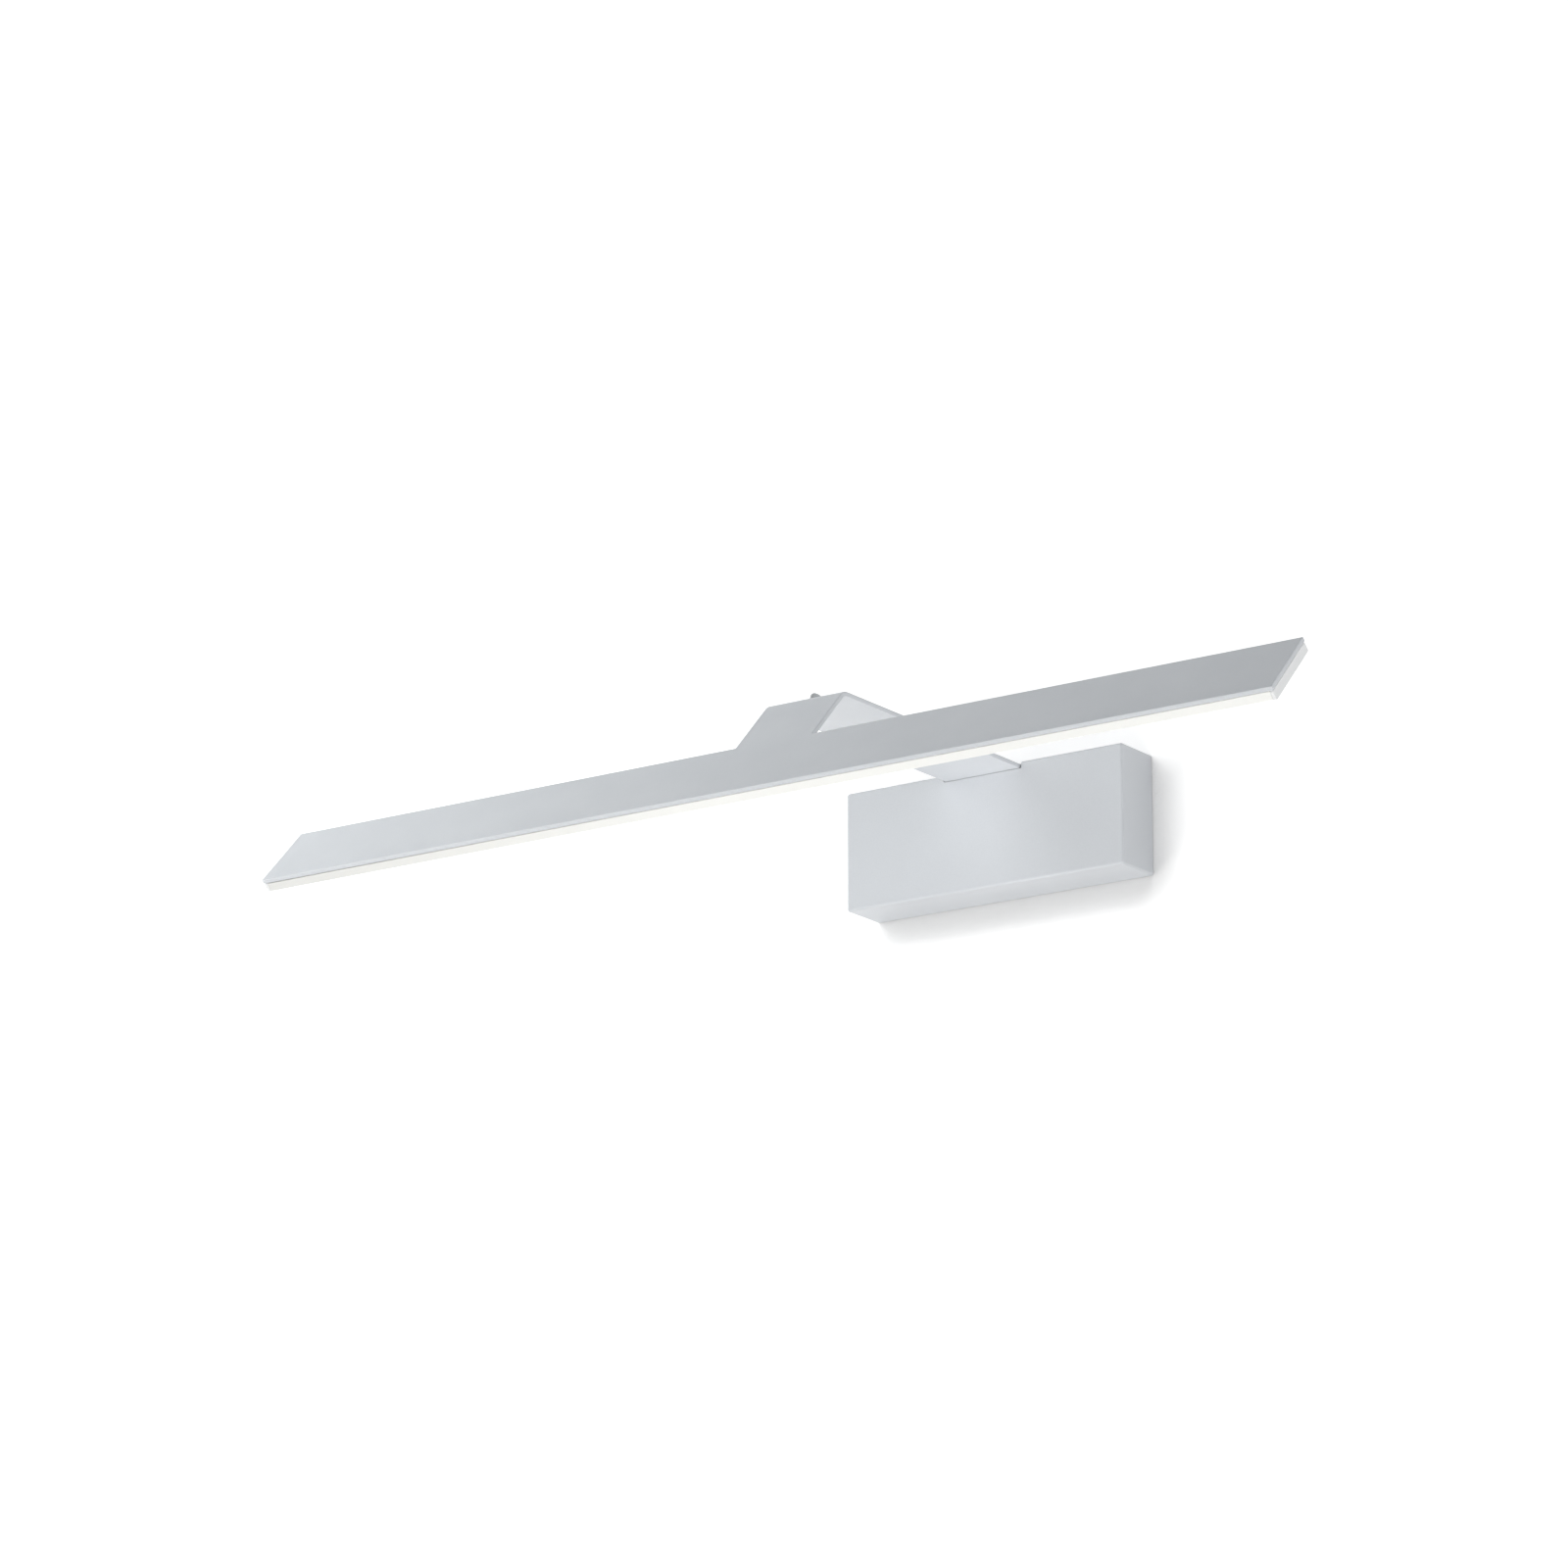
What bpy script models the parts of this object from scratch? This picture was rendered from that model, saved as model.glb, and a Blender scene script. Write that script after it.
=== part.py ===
"""A slim LED light that hangs on a wall above a mirror or a picture.

A flat canopy box on the wall holds the driver and the mains terminals. One folded metal sheet
leaves the top edge of the box as an arm, bends down once and widens into a long bar. An opal
tray under the bar covers the row of light-emitting diodes, and a cap closes each end.

Metres, +Z up. The wall is the plane Y = 0 and the light stands out from it towards -Y. The
origin is the centre of the backplate's rear face.
"""
from math import ceil, cos, pi, radians, sin, tan

import bmesh
import bpy
from mathutils import Matrix, Vector

# General values
SEAT = 0.0003            # gap between two pieces that touch
OVERRUN = 0.002          # how far a cutter runs past the face that it opens
WELD = 0.00001           # distance within which doubled points are merged
ROUND_SIDES = 20         # facets round a screw, hole or ring
BEND_STEPS = 6           # facets across a bend or a rounded corner
ROUTE_BEND = radians(14) # a wire's route has a point for about this much bend
SMOOTH_ANGLE = radians(35)  # faces that meet at less than this are shaded as one

# Folded sheet: flange, arm and bar
SHEET = 0.0025
SHEET_EDGE = 0.0003      # broken edge all round
EDGE_ANGLE = radians(60) # corners sharper than this get the broken edge
BEND_RADIUS = 0.0020     # inside of both bends
ARM_WIDTH = 0.046
ARM_REACH = 0.1885       # wall to the fold
ARM_SLOPE = 0.040        # fold to the bar, along the slope
ARM_DROP = 0.0010        # top of the arm below the top of the cover
FLANGE_HEIGHT = 0.0220
BAR_TILT = radians(46)

# Bar with its tray and caps
BAR_LENGTH = 0.600
BAR_WIDTH = 0.044
BAR_DEPTH = 0.0077       # sheet and tray together
CAP = 0.0020             # thickness of an end cap
CAP_CHAMFER = 0.0008
CAP_PLUG = 0.0045        # how far the cap's plug reaches into the tray
PLUG_HEIGHT = 0.0016
TRAY_WALL = 0.0012
TRAY_INSET = 0.0003      # tray behind the sheet's long edges
TRAY_ROUND = 0.0009      # outer corners of the tray
TRAY_INNER_ROUND = 0.0003
BEAD_REACH = 0.0005      # snap beads that hold the tray on the carrier
BEAD_HEIGHT = 0.0008

# Light strip
CARRIER = 0.0010
BOARD = 0.0008
BOARD_WIDTH = 0.012
LED_SIZE = 0.0030
LED_HEIGHT = 0.0007
LED_COUNT = 24
STRIP_MARGIN = 0.0010    # carrier and board end this far before the cap's plug

# Canopy box
COVER_WIDTH = 0.170
COVER_HEIGHT = 0.064
COVER_DEPTH = 0.029
COVER_WALL = 0.0010
COVER_ROUND = 0.0013
RIM_GAP = 0.0004         # cover's rim in front of the wall
NOTCH_SIDE = 0.0010      # air beside the arm in the cover's notch
NOTCH_UNDER = 0.0005     # air below the arm there

# Backplate
PLATE = 0.0015
PLATE_CLEARANCE = 0.0005
PLATE_ROUND = 0.0020
TAB_WIDTH = 0.014
TAB_REACH = 0.013
TAB_THICKNESS = 0.0015
STUD_RADIUS = 0.0020
ARM_STUD_INSET = 0.009   # studs inside the flange's sides
ARM_STUD_DROP = 0.0145   # studs below the top of the arm
ARM_STUD_REACH = 0.0115
WALL_SLOT_INSET = 0.026  # wall screws inside the cover's sides
WALL_SLOT_DROP = 0.0115  # wall screws below the cover's top
WALL_SLOT_WIDTH = 0.0055
WALL_SLOT_LENGTH = 0.0100

# Cable entry
CABLE_INSET = 0.012      # from the cover's left side
CABLE_CLEARANCE = 0.0013 # grommet above the terminal block
CABLE_HOLE_RADIUS = 0.0060
GROMMET_BORE_RADIUS = 0.0042
GROMMET_LIP = 0.0020
GROMMET_LIP_HEIGHT = 0.0012

# Screws, nuts and washers
COVER_SCREW_INSET = 0.035
COVER_SCREW_Y = 0.0080
COVER_SCREW_RADIUS = 0.0015
COVER_SCREW_LENGTH = 0.0085
COVER_SCREW_HEAD_RADIUS = 0.0030
COVER_SCREW_HEAD_HEIGHT = 0.0018
COVER_NUT_ACROSS = 0.0055
COVER_NUT_HEIGHT = 0.0024
STUD_NUT_ACROSS = 0.0070
STUD_NUT_HEIGHT = 0.0032
WASHER_RADIUS = 0.0045
WASHER = 0.0008
CROWN_SHARE = 0.35       # a screw head's rounding, of its height
CROWN_SHARES = (0.55, 0.9)  # the crown's flat and its shoulder, of the head's radius
TIP_SHARE = 0.4          # chamfer of a screw's tip, of its radius

# Driver
DRIVER_INSET = 0.019     # from the cover's right side
DRIVER_AIR = 0.016       # between the terminal block and the driver
DRIVER_HEIGHT_SHARE = 0.5
DRIVER_DEPTH = 0.020
DRIVER_BASE = 0.0020     # driver above the cover's bottom wall
DRIVER_EDGE = 0.0012
LUG_LENGTH = 0.0085
LUG_WIDTH = 0.012
LUG = 0.0025
LUG_ROUND = 0.004
DRIVER_SCREW_RADIUS = 0.0014
DRIVER_SCREW_HEAD_RADIUS = 0.0028
DRIVER_SCREW_HEAD_HEIGHT = 0.0018
WIRE_POCKET = 0.0020     # depth of the holes that the wires enter

# Terminal block
BLOCK_INSET = 0.019      # from the cover's left side
BLOCK_LIFT = 0.0025      # above the cover's bottom wall
BLOCK_LENGTH = 0.016
BLOCK_BASE = 0.0050
BLOCK_DEPTH = 0.0130
POLE_PITCH = 0.009
POLE_WIDTH = 0.0068
POLE_EDGE = 0.0008
POLE_COUNT = 3
WIRE_HOLE_RADIUS = 0.0015
CLAMP_RADIUS = 0.0017
CLAMP_SINK = 0.0006      # clamp screw below the pole's face

# Earth point
EARTH_INSET = 0.043      # from the cover's left side
EARTH_DROP = 0.0150      # below the cover's top
EARTH_STUD_REACH = 0.0095
TAG_RADIUS = 0.0042
TAG = 0.0008
TAG_NECK = 0.0055
TAG_BARREL_RADIUS = 0.0017
TAG_BARREL_LENGTH = 0.0050

# Wires and the lead to the bar
WIRE_DIAMETER = 0.0018
LEAD_DIAMETER = 0.0026
LEAD_ENTRY_Y = -0.0165   # where the lead goes up through the arm
BUSH_WALL = 0.0013
BUSH_LIP = 0.0014
BUSH_LIP_HEIGHT = 0.0010
FOLD_SLOT_LENGTH = 0.0090
FOLD_SLOT_WIDTH = 0.0038
FOLD_SLOT_BACK = 0.0068  # slot's centre behind the fold
CLIP_SHARES = (0.14, 0.45, 0.76)  # along the arm, from the cover to the fold
CLIP_LENGTH = 0.0050
CLIP_FOOT = 0.0030
CLIP_SHEET = 0.0006

# The lead's route, in shares of its loft: how far in, back or on, and how far up
LOFT_SHARE = 2           # loft, of the lead's diameter
SHELF_SHARE = 2          # height of the lead over the driver, of its loft
TURN_SHARES = ((1.6, 0.8), (1.4, 2.8))
OVER_SHARES = ((2.6, -0.4), (5, 0.2))
RISE_SHARES = ((1.1, 0.8), (0.18, 1.5))
ARCH_SHARES = ((0, 0), (0.25, 0.75), (0.95, 1), (1.8, 0.65), (2.8, 0.15), (3.8, 0))
FOLD_SHARES = (
    (3.42, 0), (2.61, 0.182), (1.8, 0.494), (1.188, 0.13), (1.008, -0.65), (0.828, -1.378), (0.324, -1.95)
)

# Places that follow from the sizes
LEFT = -COVER_WIDTH / 2
RIGHT = COVER_WIDTH / 2
TOP = COVER_HEIGHT / 2
FLOOR = -COVER_HEIGHT / 2 + COVER_WALL
ARM_TOP = TOP - ARM_DROP
ARM_UNDER = ARM_TOP - SHEET
PLATE_FRONT = -(PLATE + SEAT)
DOWN_SLOPE = Vector((0, -cos(BAR_TILT), -sin(BAR_TILT)))
OUTWARD = Vector((0, -sin(BAR_TILT), cos(BAR_TILT)))
FOLD = Vector((0, -ARM_REACH, ARM_TOP))
BAR_CENTRE = FOLD + DOWN_SLOPE * (ARM_SLOPE + BAR_WIDTH / 2)
SHEET_LENGTH = BAR_LENGTH - 2 * (CAP + SEAT)
TRAY_TOP = -(SHEET + SEAT)
TRAY_HALF = BAR_WIDTH / 2 - TRAY_INSET
TRAY_INSIDE = TRAY_HALF - TRAY_WALL
CARRIER_UNDER = TRAY_TOP - CARRIER
STRIP_LENGTH = SHEET_LENGTH - 2 * (CAP_PLUG + STRIP_MARGIN)
STUD_X = ARM_WIDTH / 2 - ARM_STUD_INSET
STUD_Z = ARM_TOP - ARM_STUD_DROP
CLIP_PLACES = [-COVER_DEPTH - share * (ARM_REACH - COVER_DEPTH) for share in CLIP_SHARES]
WALL_SLOT_X = RIGHT - WALL_SLOT_INSET
WALL_SLOT_Z = TOP - WALL_SLOT_DROP
COVER_SCREW_X = RIGHT - COVER_SCREW_INSET
BLOCK_X = LEFT + BLOCK_INSET + BLOCK_LENGTH / 2
BLOCK_Z = FLOOR + BLOCK_LIFT + POLE_COUNT * POLE_PITCH / 2
CABLE_X = LEFT + CABLE_INSET
CABLE_Z = BLOCK_Z + POLE_COUNT * POLE_PITCH / 2 + CABLE_CLEARANCE + CABLE_HOLE_RADIUS + GROMMET_LIP
EARTH_X = LEFT + EARTH_INSET
EARTH_Z = TOP - EARTH_DROP
DRIVER_LEFT = BLOCK_X + BLOCK_LENGTH / 2 + DRIVER_AIR
DRIVER_RIGHT = RIGHT - DRIVER_INSET
DRIVER_LENGTH = DRIVER_RIGHT - DRIVER_LEFT
DRIVER_X = (DRIVER_LEFT + DRIVER_RIGHT) / 2
DRIVER_HEIGHT = COVER_HEIGHT * DRIVER_HEIGHT_SHARE
LEAD_RADIUS = LEAD_DIAMETER / 2
LEAD_LOFT = LEAD_DIAMETER * LOFT_SHARE
LEAD_LIFT = SEAT + LEAD_RADIUS
LEAD_DEPTH = SHEET + 2 * SEAT + LEAD_RADIUS
BUSH_HOLE_RADIUS = LEAD_RADIUS + BUSH_WALL + 2 * SEAT
DRIVER_CENTRE_Z = FLOOR + DRIVER_BASE + DRIVER_HEIGHT / 2
DRIVER_FRONT = PLATE_FRONT - DRIVER_DEPTH
WIRE_RADIUS = WIRE_DIAMETER / 2
WIRE_Y = PLATE_FRONT - (BLOCK_BASE + BLOCK_DEPTH) / 2

WARM_WHITE = (1, 0.96, 0.9)

# Outline frames: a curve's own X and Y run along these, its thickness along the third axis
ALONG_X = Matrix(((0, 0, 1), (1, 0, 0), (0, 1, 0))).to_4x4()
ALONG_Y = Matrix.Rotation(pi / 2, 4, "X")
ALONG_Z = Matrix.Identity(4)


def clear_scene():
    """Remove what the scene holds, and make the two collections."""
    for old in list(bpy.data.objects):
        bpy.data.objects.remove(old, do_unlink=True)
    groups = []
    for name in ("led_wall_light", "cutters"):
        group = bpy.data.collections.new(name)
        bpy.context.scene.collection.children.link(group)
        groups.append(group)
    return groups


PARTS, CUTTERS = clear_scene()


def finish(name, colour, roughness, metallic=0.0, glow=0.0):
    """A plain material of one colour."""
    made = bpy.data.materials.new(name)
    made.use_nodes = True
    shader = made.node_tree.nodes["Principled BSDF"]
    shader.inputs["Base Color"].default_value = (*colour, 1)
    shader.inputs["Roughness"].default_value = roughness
    shader.inputs["Metallic"].default_value = metallic
    shader.inputs["Emission Color"].default_value = (*WARM_WHITE, 1)
    shader.inputs["Emission Strength"].default_value = glow
    return made


PAINT = finish("light_grey_paint", (0.66, 0.67, 0.69), 0.45)
CAP_PLASTIC = finish("cap_plastic", (0.70, 0.71, 0.72), 0.5)
OPAL = finish("opal_diffuser", (0.93, 0.92, 0.89), 0.4, glow=0.6)
ZINC = finish("zinc_plate", (0.62, 0.63, 0.64), 0.35, metallic=1.0)
STEEL = finish("bright_steel", (0.70, 0.70, 0.71), 0.3, metallic=1.0)
ALUMINIUM = finish("aluminium_strip", (0.75, 0.76, 0.77), 0.35, metallic=1.0)
BOARD_WHITE = finish("white_board", (0.88, 0.88, 0.85), 0.5)
CASE_WHITE = finish("driver_plastic", (0.82, 0.82, 0.80), 0.5)
BLOCK_PLASTIC = finish("terminal_plastic", (0.86, 0.85, 0.80), 0.5)
RUBBER = finish("black_rubber", (0.04, 0.04, 0.04), 0.7)
BRASS = finish("brass_clamp", (0.72, 0.56, 0.28), 0.35, metallic=1.0)
BROWN = finish("brown_wire", (0.23, 0.11, 0.05), 0.5)
BLUE = finish("blue_wire", (0.05, 0.13, 0.45), 0.5)
GREEN = finish("green_wire", (0.16, 0.42, 0.10), 0.5)
LEAD_GREY = finish("grey_lead", (0.42, 0.43, 0.44), 0.5)


def add(name, mesh, material, at=(0, 0, 0), turn=(0, 0, 0), parent=None):
    """Put a mesh into the part as a named piece."""
    piece = bpy.data.objects.new(name, mesh)
    PARTS.objects.link(piece)
    piece.location = at
    piece.rotation_euler = turn
    piece.parent = parent
    if not mesh.materials:
        mesh.materials.append(material)
    return piece


def guide(name, mesh, at=(0, 0, 0), turn=(0, 0, 0), parent=None):
    """A shape that only cuts or is joined."""
    shape = bpy.data.objects.new(name, mesh)
    CUTTERS.objects.link(shape)
    shape.location = at
    shape.rotation_euler = turn
    shape.parent = parent
    shape.hide_render = True
    shape.display_type = "WIRE"
    return shape


def combine(piece, operation, shapes):
    """Cut the shapes from a piece, or join them to it."""
    for shape in shapes:
        boolean = piece.modifiers.new(shape.name, "BOOLEAN")
        boolean.operation = operation
        boolean.solver = "EXACT"
        boolean.object = shape


def empty(name, at=(0, 0, 0), turn=(0, 0, 0)):
    """A frame that pieces are placed in."""
    made = bpy.data.objects.new(name, None)
    PARTS.objects.link(made)
    made.location = at
    made.rotation_euler = turn
    return made


def solid(modelled, material, name, at=(0, 0, 0), turn=(0, 0, 0), parent=None):
    """Turn a bmesh into a named piece."""
    return add(name, mesh_of(modelled, name), material, at, turn, parent)


def mesh_of(modelled, name):
    """The finished mesh of a bmesh."""
    mesh = bpy.data.meshes.new(name)
    modelled.to_mesh(mesh)
    modelled.free()
    return mesh


def settled(thing):
    """The mesh of an object as its modifiers leave it, with the object itself removed."""
    bpy.context.view_layer.update()
    graph = bpy.context.evaluated_depsgraph_get()
    mesh = bpy.data.meshes.new_from_object(thing.evaluated_get(graph))
    mesh.name = thing.name
    mesh.transform(thing.matrix_world)
    bpy.data.objects.remove(thing, do_unlink=True)
    modelled = bmesh.new()
    modelled.from_mesh(mesh)
    bmesh.ops.remove_doubles(modelled, verts=modelled.verts, dist=WELD)
    modelled.to_mesh(mesh)
    modelled.free()
    return mesh


def shade(piece):
    """Shade the round faces smooth and keep the real edges sharp."""
    piece.data.shade_smooth()
    piece.data.set_sharp_from_angle(angle=SMOOTH_ANGLE)


def box(low, high):
    """The mesh of a box between two corners."""
    low, high = Vector(low), Vector(high)
    modelled = bmesh.new()
    bmesh.ops.create_cube(modelled, size=1)
    bmesh.ops.scale(modelled, vec=high - low, verts=modelled.verts)
    bmesh.ops.translate(modelled, vec=(low + high) / 2, verts=modelled.verts)
    return mesh_of(modelled, "box")


def rod(radius, start, end, sides=ROUND_SIDES):
    """The mesh of a round rod between two points."""
    start, end = Vector(start), Vector(end)
    along = end - start
    modelled = bmesh.new()
    bmesh.ops.create_cone(
        modelled, cap_ends=True, segments=sides, radius1=radius, radius2=radius, depth=along.length
    )
    turn = Vector((0, 0, 1)).rotation_difference(along).to_matrix().to_4x4()
    modelled.transform(Matrix.Translation((start + end) / 2) @ turn)
    return mesh_of(modelled, "rod")


def arc(centre, radius, start, end, steps=BEND_STEPS):
    """Points along an arc, from one angle to another."""
    turns = [start + (end - start) * step / steps for step in range(steps + 1)]
    return [(centre[0] + radius * cos(turn), centre[1] + radius * sin(turn)) for turn in turns]


def round_rectangle(centre, width, height, radius):
    """The outline of a rectangle with round corners."""
    across = width / 2 - radius
    up = height / 2 - radius
    corners = ((across, up, 0), (-across, up, pi / 2), (-across, -up, pi), (across, -up, 3 * pi / 2))
    points = []
    for x, y, start in corners:
        points += arc((centre[0] + x, centre[1] + y), radius, start, start + pi / 2)
    return points


def slot(centre, width, length, upright=False):
    """The outline of a slot with round ends."""
    reach = (length - width) / 2
    turn = pi / 2 if upright else 0
    points = []
    for side, start in ((1, -pi / 2), (-1, pi / 2)):
        end = (centre[0] + side * reach * cos(turn), centre[1] + side * reach * sin(turn))
        points += arc(end, width / 2, start + turn, start + turn + pi)
    return points


def circle(centre, radius):
    """The outline of a round hole."""
    return arc(centre, radius, 0, 2 * pi, ROUND_SIDES)[:-1]


def flat(outlines, thickness, frame, middle=0.0):
    """The mesh of a flat outline with holes, its thickness centred on the place called middle."""
    curve = bpy.data.curves.new("outline", "CURVE")
    curve.dimensions = "2D"
    curve.fill_mode = "BOTH"
    curve.extrude = thickness / 2
    for points in outlines:
        spline = curve.splines.new("POLY")
        spline.points.add(len(points) - 1)
        spline.use_cyclic_u = True
        for point, (x, y) in zip(spline.points, points):
            point.co = (x, y, 0, 1)
    drawn = guide("outline", curve)
    drawn.matrix_world = frame @ Matrix.Translation((0, 0, middle))
    return settled(drawn)


def turned(profile, steps=ROUND_SIDES):
    """The mesh of a profile, given top to bottom on its outer side, turned about Z."""
    modelled = bmesh.new()
    points = [modelled.verts.new((x, 0, z)) for x, z in profile]
    for pair in zip(points, points[1:]):
        modelled.edges.new(pair)
    drawn = guide("profile", mesh_of(modelled, "profile"))
    screw = drawn.modifiers.new("turn", "SCREW")
    screw.steps = steps
    screw.render_steps = steps
    screw.use_merge_vertices = True
    screw.merge_threshold = WELD
    return settled(drawn)


def smooth_route(points):
    """Points on a smooth curve through the route's own points, closer together where it bends."""
    points = [Vector(point) for point in points]
    ends = [2 * points[0] - points[1]] + points + [2 * points[-1] - points[-2]]
    route = []
    for before, start, end, after in zip(ends, ends[1:], ends[2:], ends[3:]):
        bend = (end - before).angle(end - start) + (after - start).angle(end - start)
        count = max(1, ceil(bend / ROUTE_BEND))
        for index in range(count):
            t = index / count
            bend_in = (end - before) * (t - 2 * t**2 + t**3) / 2
            bend_out = (after - start) * (t**3 - t**2) / 2
            route.append(start * (1 - 3 * t**2 + 2 * t**3) + end * (3 * t**2 - 2 * t**3) + bend_in + bend_out)
    return route + [points[-1]]


def tube(name, points, diameter, material):
    """A wire along a smooth route."""
    curve = bpy.data.curves.new(name, "CURVE")
    curve.dimensions = "3D"
    curve.bevel_depth = diameter / 2
    curve.bevel_resolution = 2
    curve.resolution_u = 1
    curve.render_resolution_u = 0
    curve.use_fill_caps = True
    spline = curve.splines.new("POLY")
    route = smooth_route(points)
    spline.points.add(len(route) - 1)
    for point, place in zip(spline.points, route):
        point.co = (*place, 1)
    curve.materials.append(material)
    piece = bpy.data.objects.new(name, curve)
    PARTS.objects.link(piece)
    return piece


def sheet_line():
    """Side view of the sheet's outer face, from the flange's foot to the bar's lower edge."""
    outer = BEND_RADIUS + SHEET
    tangent = outer * tan(BAR_TILT / 2)
    heel = (PLATE_FRONT - outer, ARM_TOP - outer)
    knee = (FOLD.y + tangent, ARM_TOP - outer)
    line = [(PLATE_FRONT, ARM_TOP - FLANGE_HEIGHT)]
    line += arc(heel, outer, 0, pi / 2)
    line += arc(knee, outer, pi / 2, pi / 2 + BAR_TILT)
    for distance in (ARM_SLOPE, ARM_SLOPE + BAR_WIDTH):
        place = FOLD + DOWN_SLOPE * distance
        line.append((place.y, place.z))
    return line


def make_folded_arm():
    """One sheet: a flange on the backplate, the arm, the fold and the wide bar."""
    modelled = bmesh.new()
    line = [modelled.verts.new((-ARM_WIDTH / 2, y, z)) for y, z in sheet_line()]
    edges = [modelled.edges.new(pair) for pair in zip(line, line[1:])]
    strip = bmesh.ops.extrude_edge_only(modelled, edges=edges)["geom"]
    far_side = [thing for thing in strip if isinstance(thing, bmesh.types.BMVert)]
    bmesh.ops.translate(modelled, vec=(ARM_WIDTH, 0, 0), verts=far_side)

    bar_foot = line[-1].co.z
    bar_sides = []
    for edge in modelled.edges:
        start, end = (vert.co for vert in edge.verts)
        reaches_foot = min(start.z, end.z) <= bar_foot + WELD
        if reaches_foot and abs(start.x - end.x) < WELD:
            bar_sides.append(edge)
    wing = (SHEET_LENGTH - ARM_WIDTH) / 2
    for edge in bar_sides:
        side = 1 if edge.verts[0].co.x > 0 else -1
        grown = bmesh.ops.extrude_edge_only(modelled, edges=[edge])["geom"]
        moved = [thing for thing in grown if isinstance(thing, bmesh.types.BMVert)]
        bmesh.ops.translate(modelled, vec=(side * wing, 0, 0), verts=moved)
    bmesh.ops.recalc_face_normals(modelled, faces=modelled.faces)

    arm = solid(modelled, PAINT, "folded_arm")
    thick = arm.modifiers.new("sheet", "SOLIDIFY")
    thick.thickness = SHEET
    thick.offset = -1
    thick.use_even_offset = True
    edge = arm.modifiers.new("edge", "BEVEL")
    edge.width = SHEET_EDGE
    edge.segments = 1
    edge.limit_method = "ANGLE"
    edge.angle_limit = EDGE_ANGLE

    flange_front = PLATE_FRONT - SHEET
    cutters = []
    for side in (-1, 1):
        start = (side * STUD_X, PLATE_FRONT + OVERRUN, STUD_Z)
        end = (side * STUD_X, flange_front - OVERRUN, STUD_Z)
        cutters.append(guide("stud_hole", rod(STUD_RADIUS + SEAT, start, end)))
    low = (0, LEAD_ENTRY_Y, ARM_UNDER - OVERRUN)
    high = (0, LEAD_ENTRY_Y, ARM_TOP + OVERRUN)
    cutters.append(guide("bush_hole", rod(BUSH_HOLE_RADIUS, low, high)))
    place = (0, FOLD.y + FOLD_SLOT_BACK)
    opening = slot(place, FOLD_SLOT_WIDTH, FOLD_SLOT_LENGTH, upright=True)
    cutters.append(guide("fold_slot", flat([opening], SHEET + 2 * OVERRUN, ALONG_Z, ARM_TOP - SHEET / 2)))
    combine(arm, "DIFFERENCE", cutters)
    shade(arm)


def make_tray(parent):
    """The opal tray: a shallow channel whose beads snap over the carrier's edges."""
    bottom = -BAR_DEPTH
    bead_top = CARRIER_UNDER - SEAT
    bead_foot = bead_top - BEAD_HEIGHT
    corner = (TRAY_HALF - TRAY_ROUND, bottom + TRAY_ROUND)
    hollow = (TRAY_INSIDE - TRAY_INNER_ROUND, bottom + TRAY_WALL + TRAY_INNER_ROUND)
    right = [(TRAY_HALF, TRAY_TOP)]
    right += arc(corner, TRAY_ROUND, 0, -pi / 2)
    inside = arc(hollow, TRAY_INNER_ROUND, -pi / 2, 0)
    inside += [
        (TRAY_INSIDE, bead_foot),
        (TRAY_INSIDE - BEAD_REACH, (bead_foot + bead_top) / 2),
        (TRAY_INSIDE, bead_top),
        (TRAY_INSIDE, TRAY_TOP),
    ]
    mirror_outer = [(-y, z) for y, z in reversed(right)]
    mirror_inner = [(-y, z) for y, z in reversed(inside)]
    outline = right + mirror_outer + mirror_inner + inside
    tray = add("diffuser", flat([outline], SHEET_LENGTH, ALONG_X), OPAL, parent=parent)
    reach = LEAD_RADIUS + 2 * SEAT
    lead_floor = -(LEAD_DEPTH + reach)
    low = (-reach, TRAY_INSIDE - BEAD_REACH - SEAT, lead_floor)
    high = (reach, TRAY_HALF + OVERRUN, TRAY_TOP + SEAT)
    combine(tray, "DIFFERENCE", [guide("lead_notch", box(low, high), parent=parent)])
    shade(tray)


def make_carrier(parent):
    """The aluminium strip that carries the board and cools it."""
    half = STRIP_LENGTH / 2
    wide = TRAY_INSIDE - SEAT
    strip = box((-half, -wide, CARRIER_UNDER), (half, wide, TRAY_TOP))
    carrier = add("led_carrier", strip, ALUMINIUM, parent=parent)
    reach = LEAD_RADIUS + 2 * SEAT
    low = (-reach, BOARD_WIDTH / 2 + SEAT, CARRIER_UNDER - SEAT)
    high = (reach, wide + SEAT, TRAY_TOP + SEAT)
    combine(carrier, "DIFFERENCE", [guide("carrier_notch", box(low, high), parent=parent)])


def make_board(parent):
    """The circuit board with its row of light-emitting diodes."""
    top = CARRIER_UNDER - SEAT
    under = top - BOARD
    half = STRIP_LENGTH / 2
    strip = box((-half, -BOARD_WIDTH / 2, under), (half, BOARD_WIDTH / 2, top))
    board = add("led_board", strip, BOARD_WHITE, parent=parent)
    modelled = bmesh.new()
    pitch = STRIP_LENGTH / LED_COUNT
    height = LED_HEIGHT + BOARD / 2
    for index in range(LED_COUNT):
        x = pitch / 2 + index * pitch - half
        made = bmesh.ops.create_cube(modelled, size=1)["verts"]
        bmesh.ops.scale(modelled, vec=(LED_SIZE, LED_SIZE, height), verts=made)
        bmesh.ops.translate(modelled, vec=(x, 0, under - LED_HEIGHT + height / 2), verts=made)
    combine(board, "UNION", [guide("diodes", mesh_of(modelled, "diodes"), parent=parent)])


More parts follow.
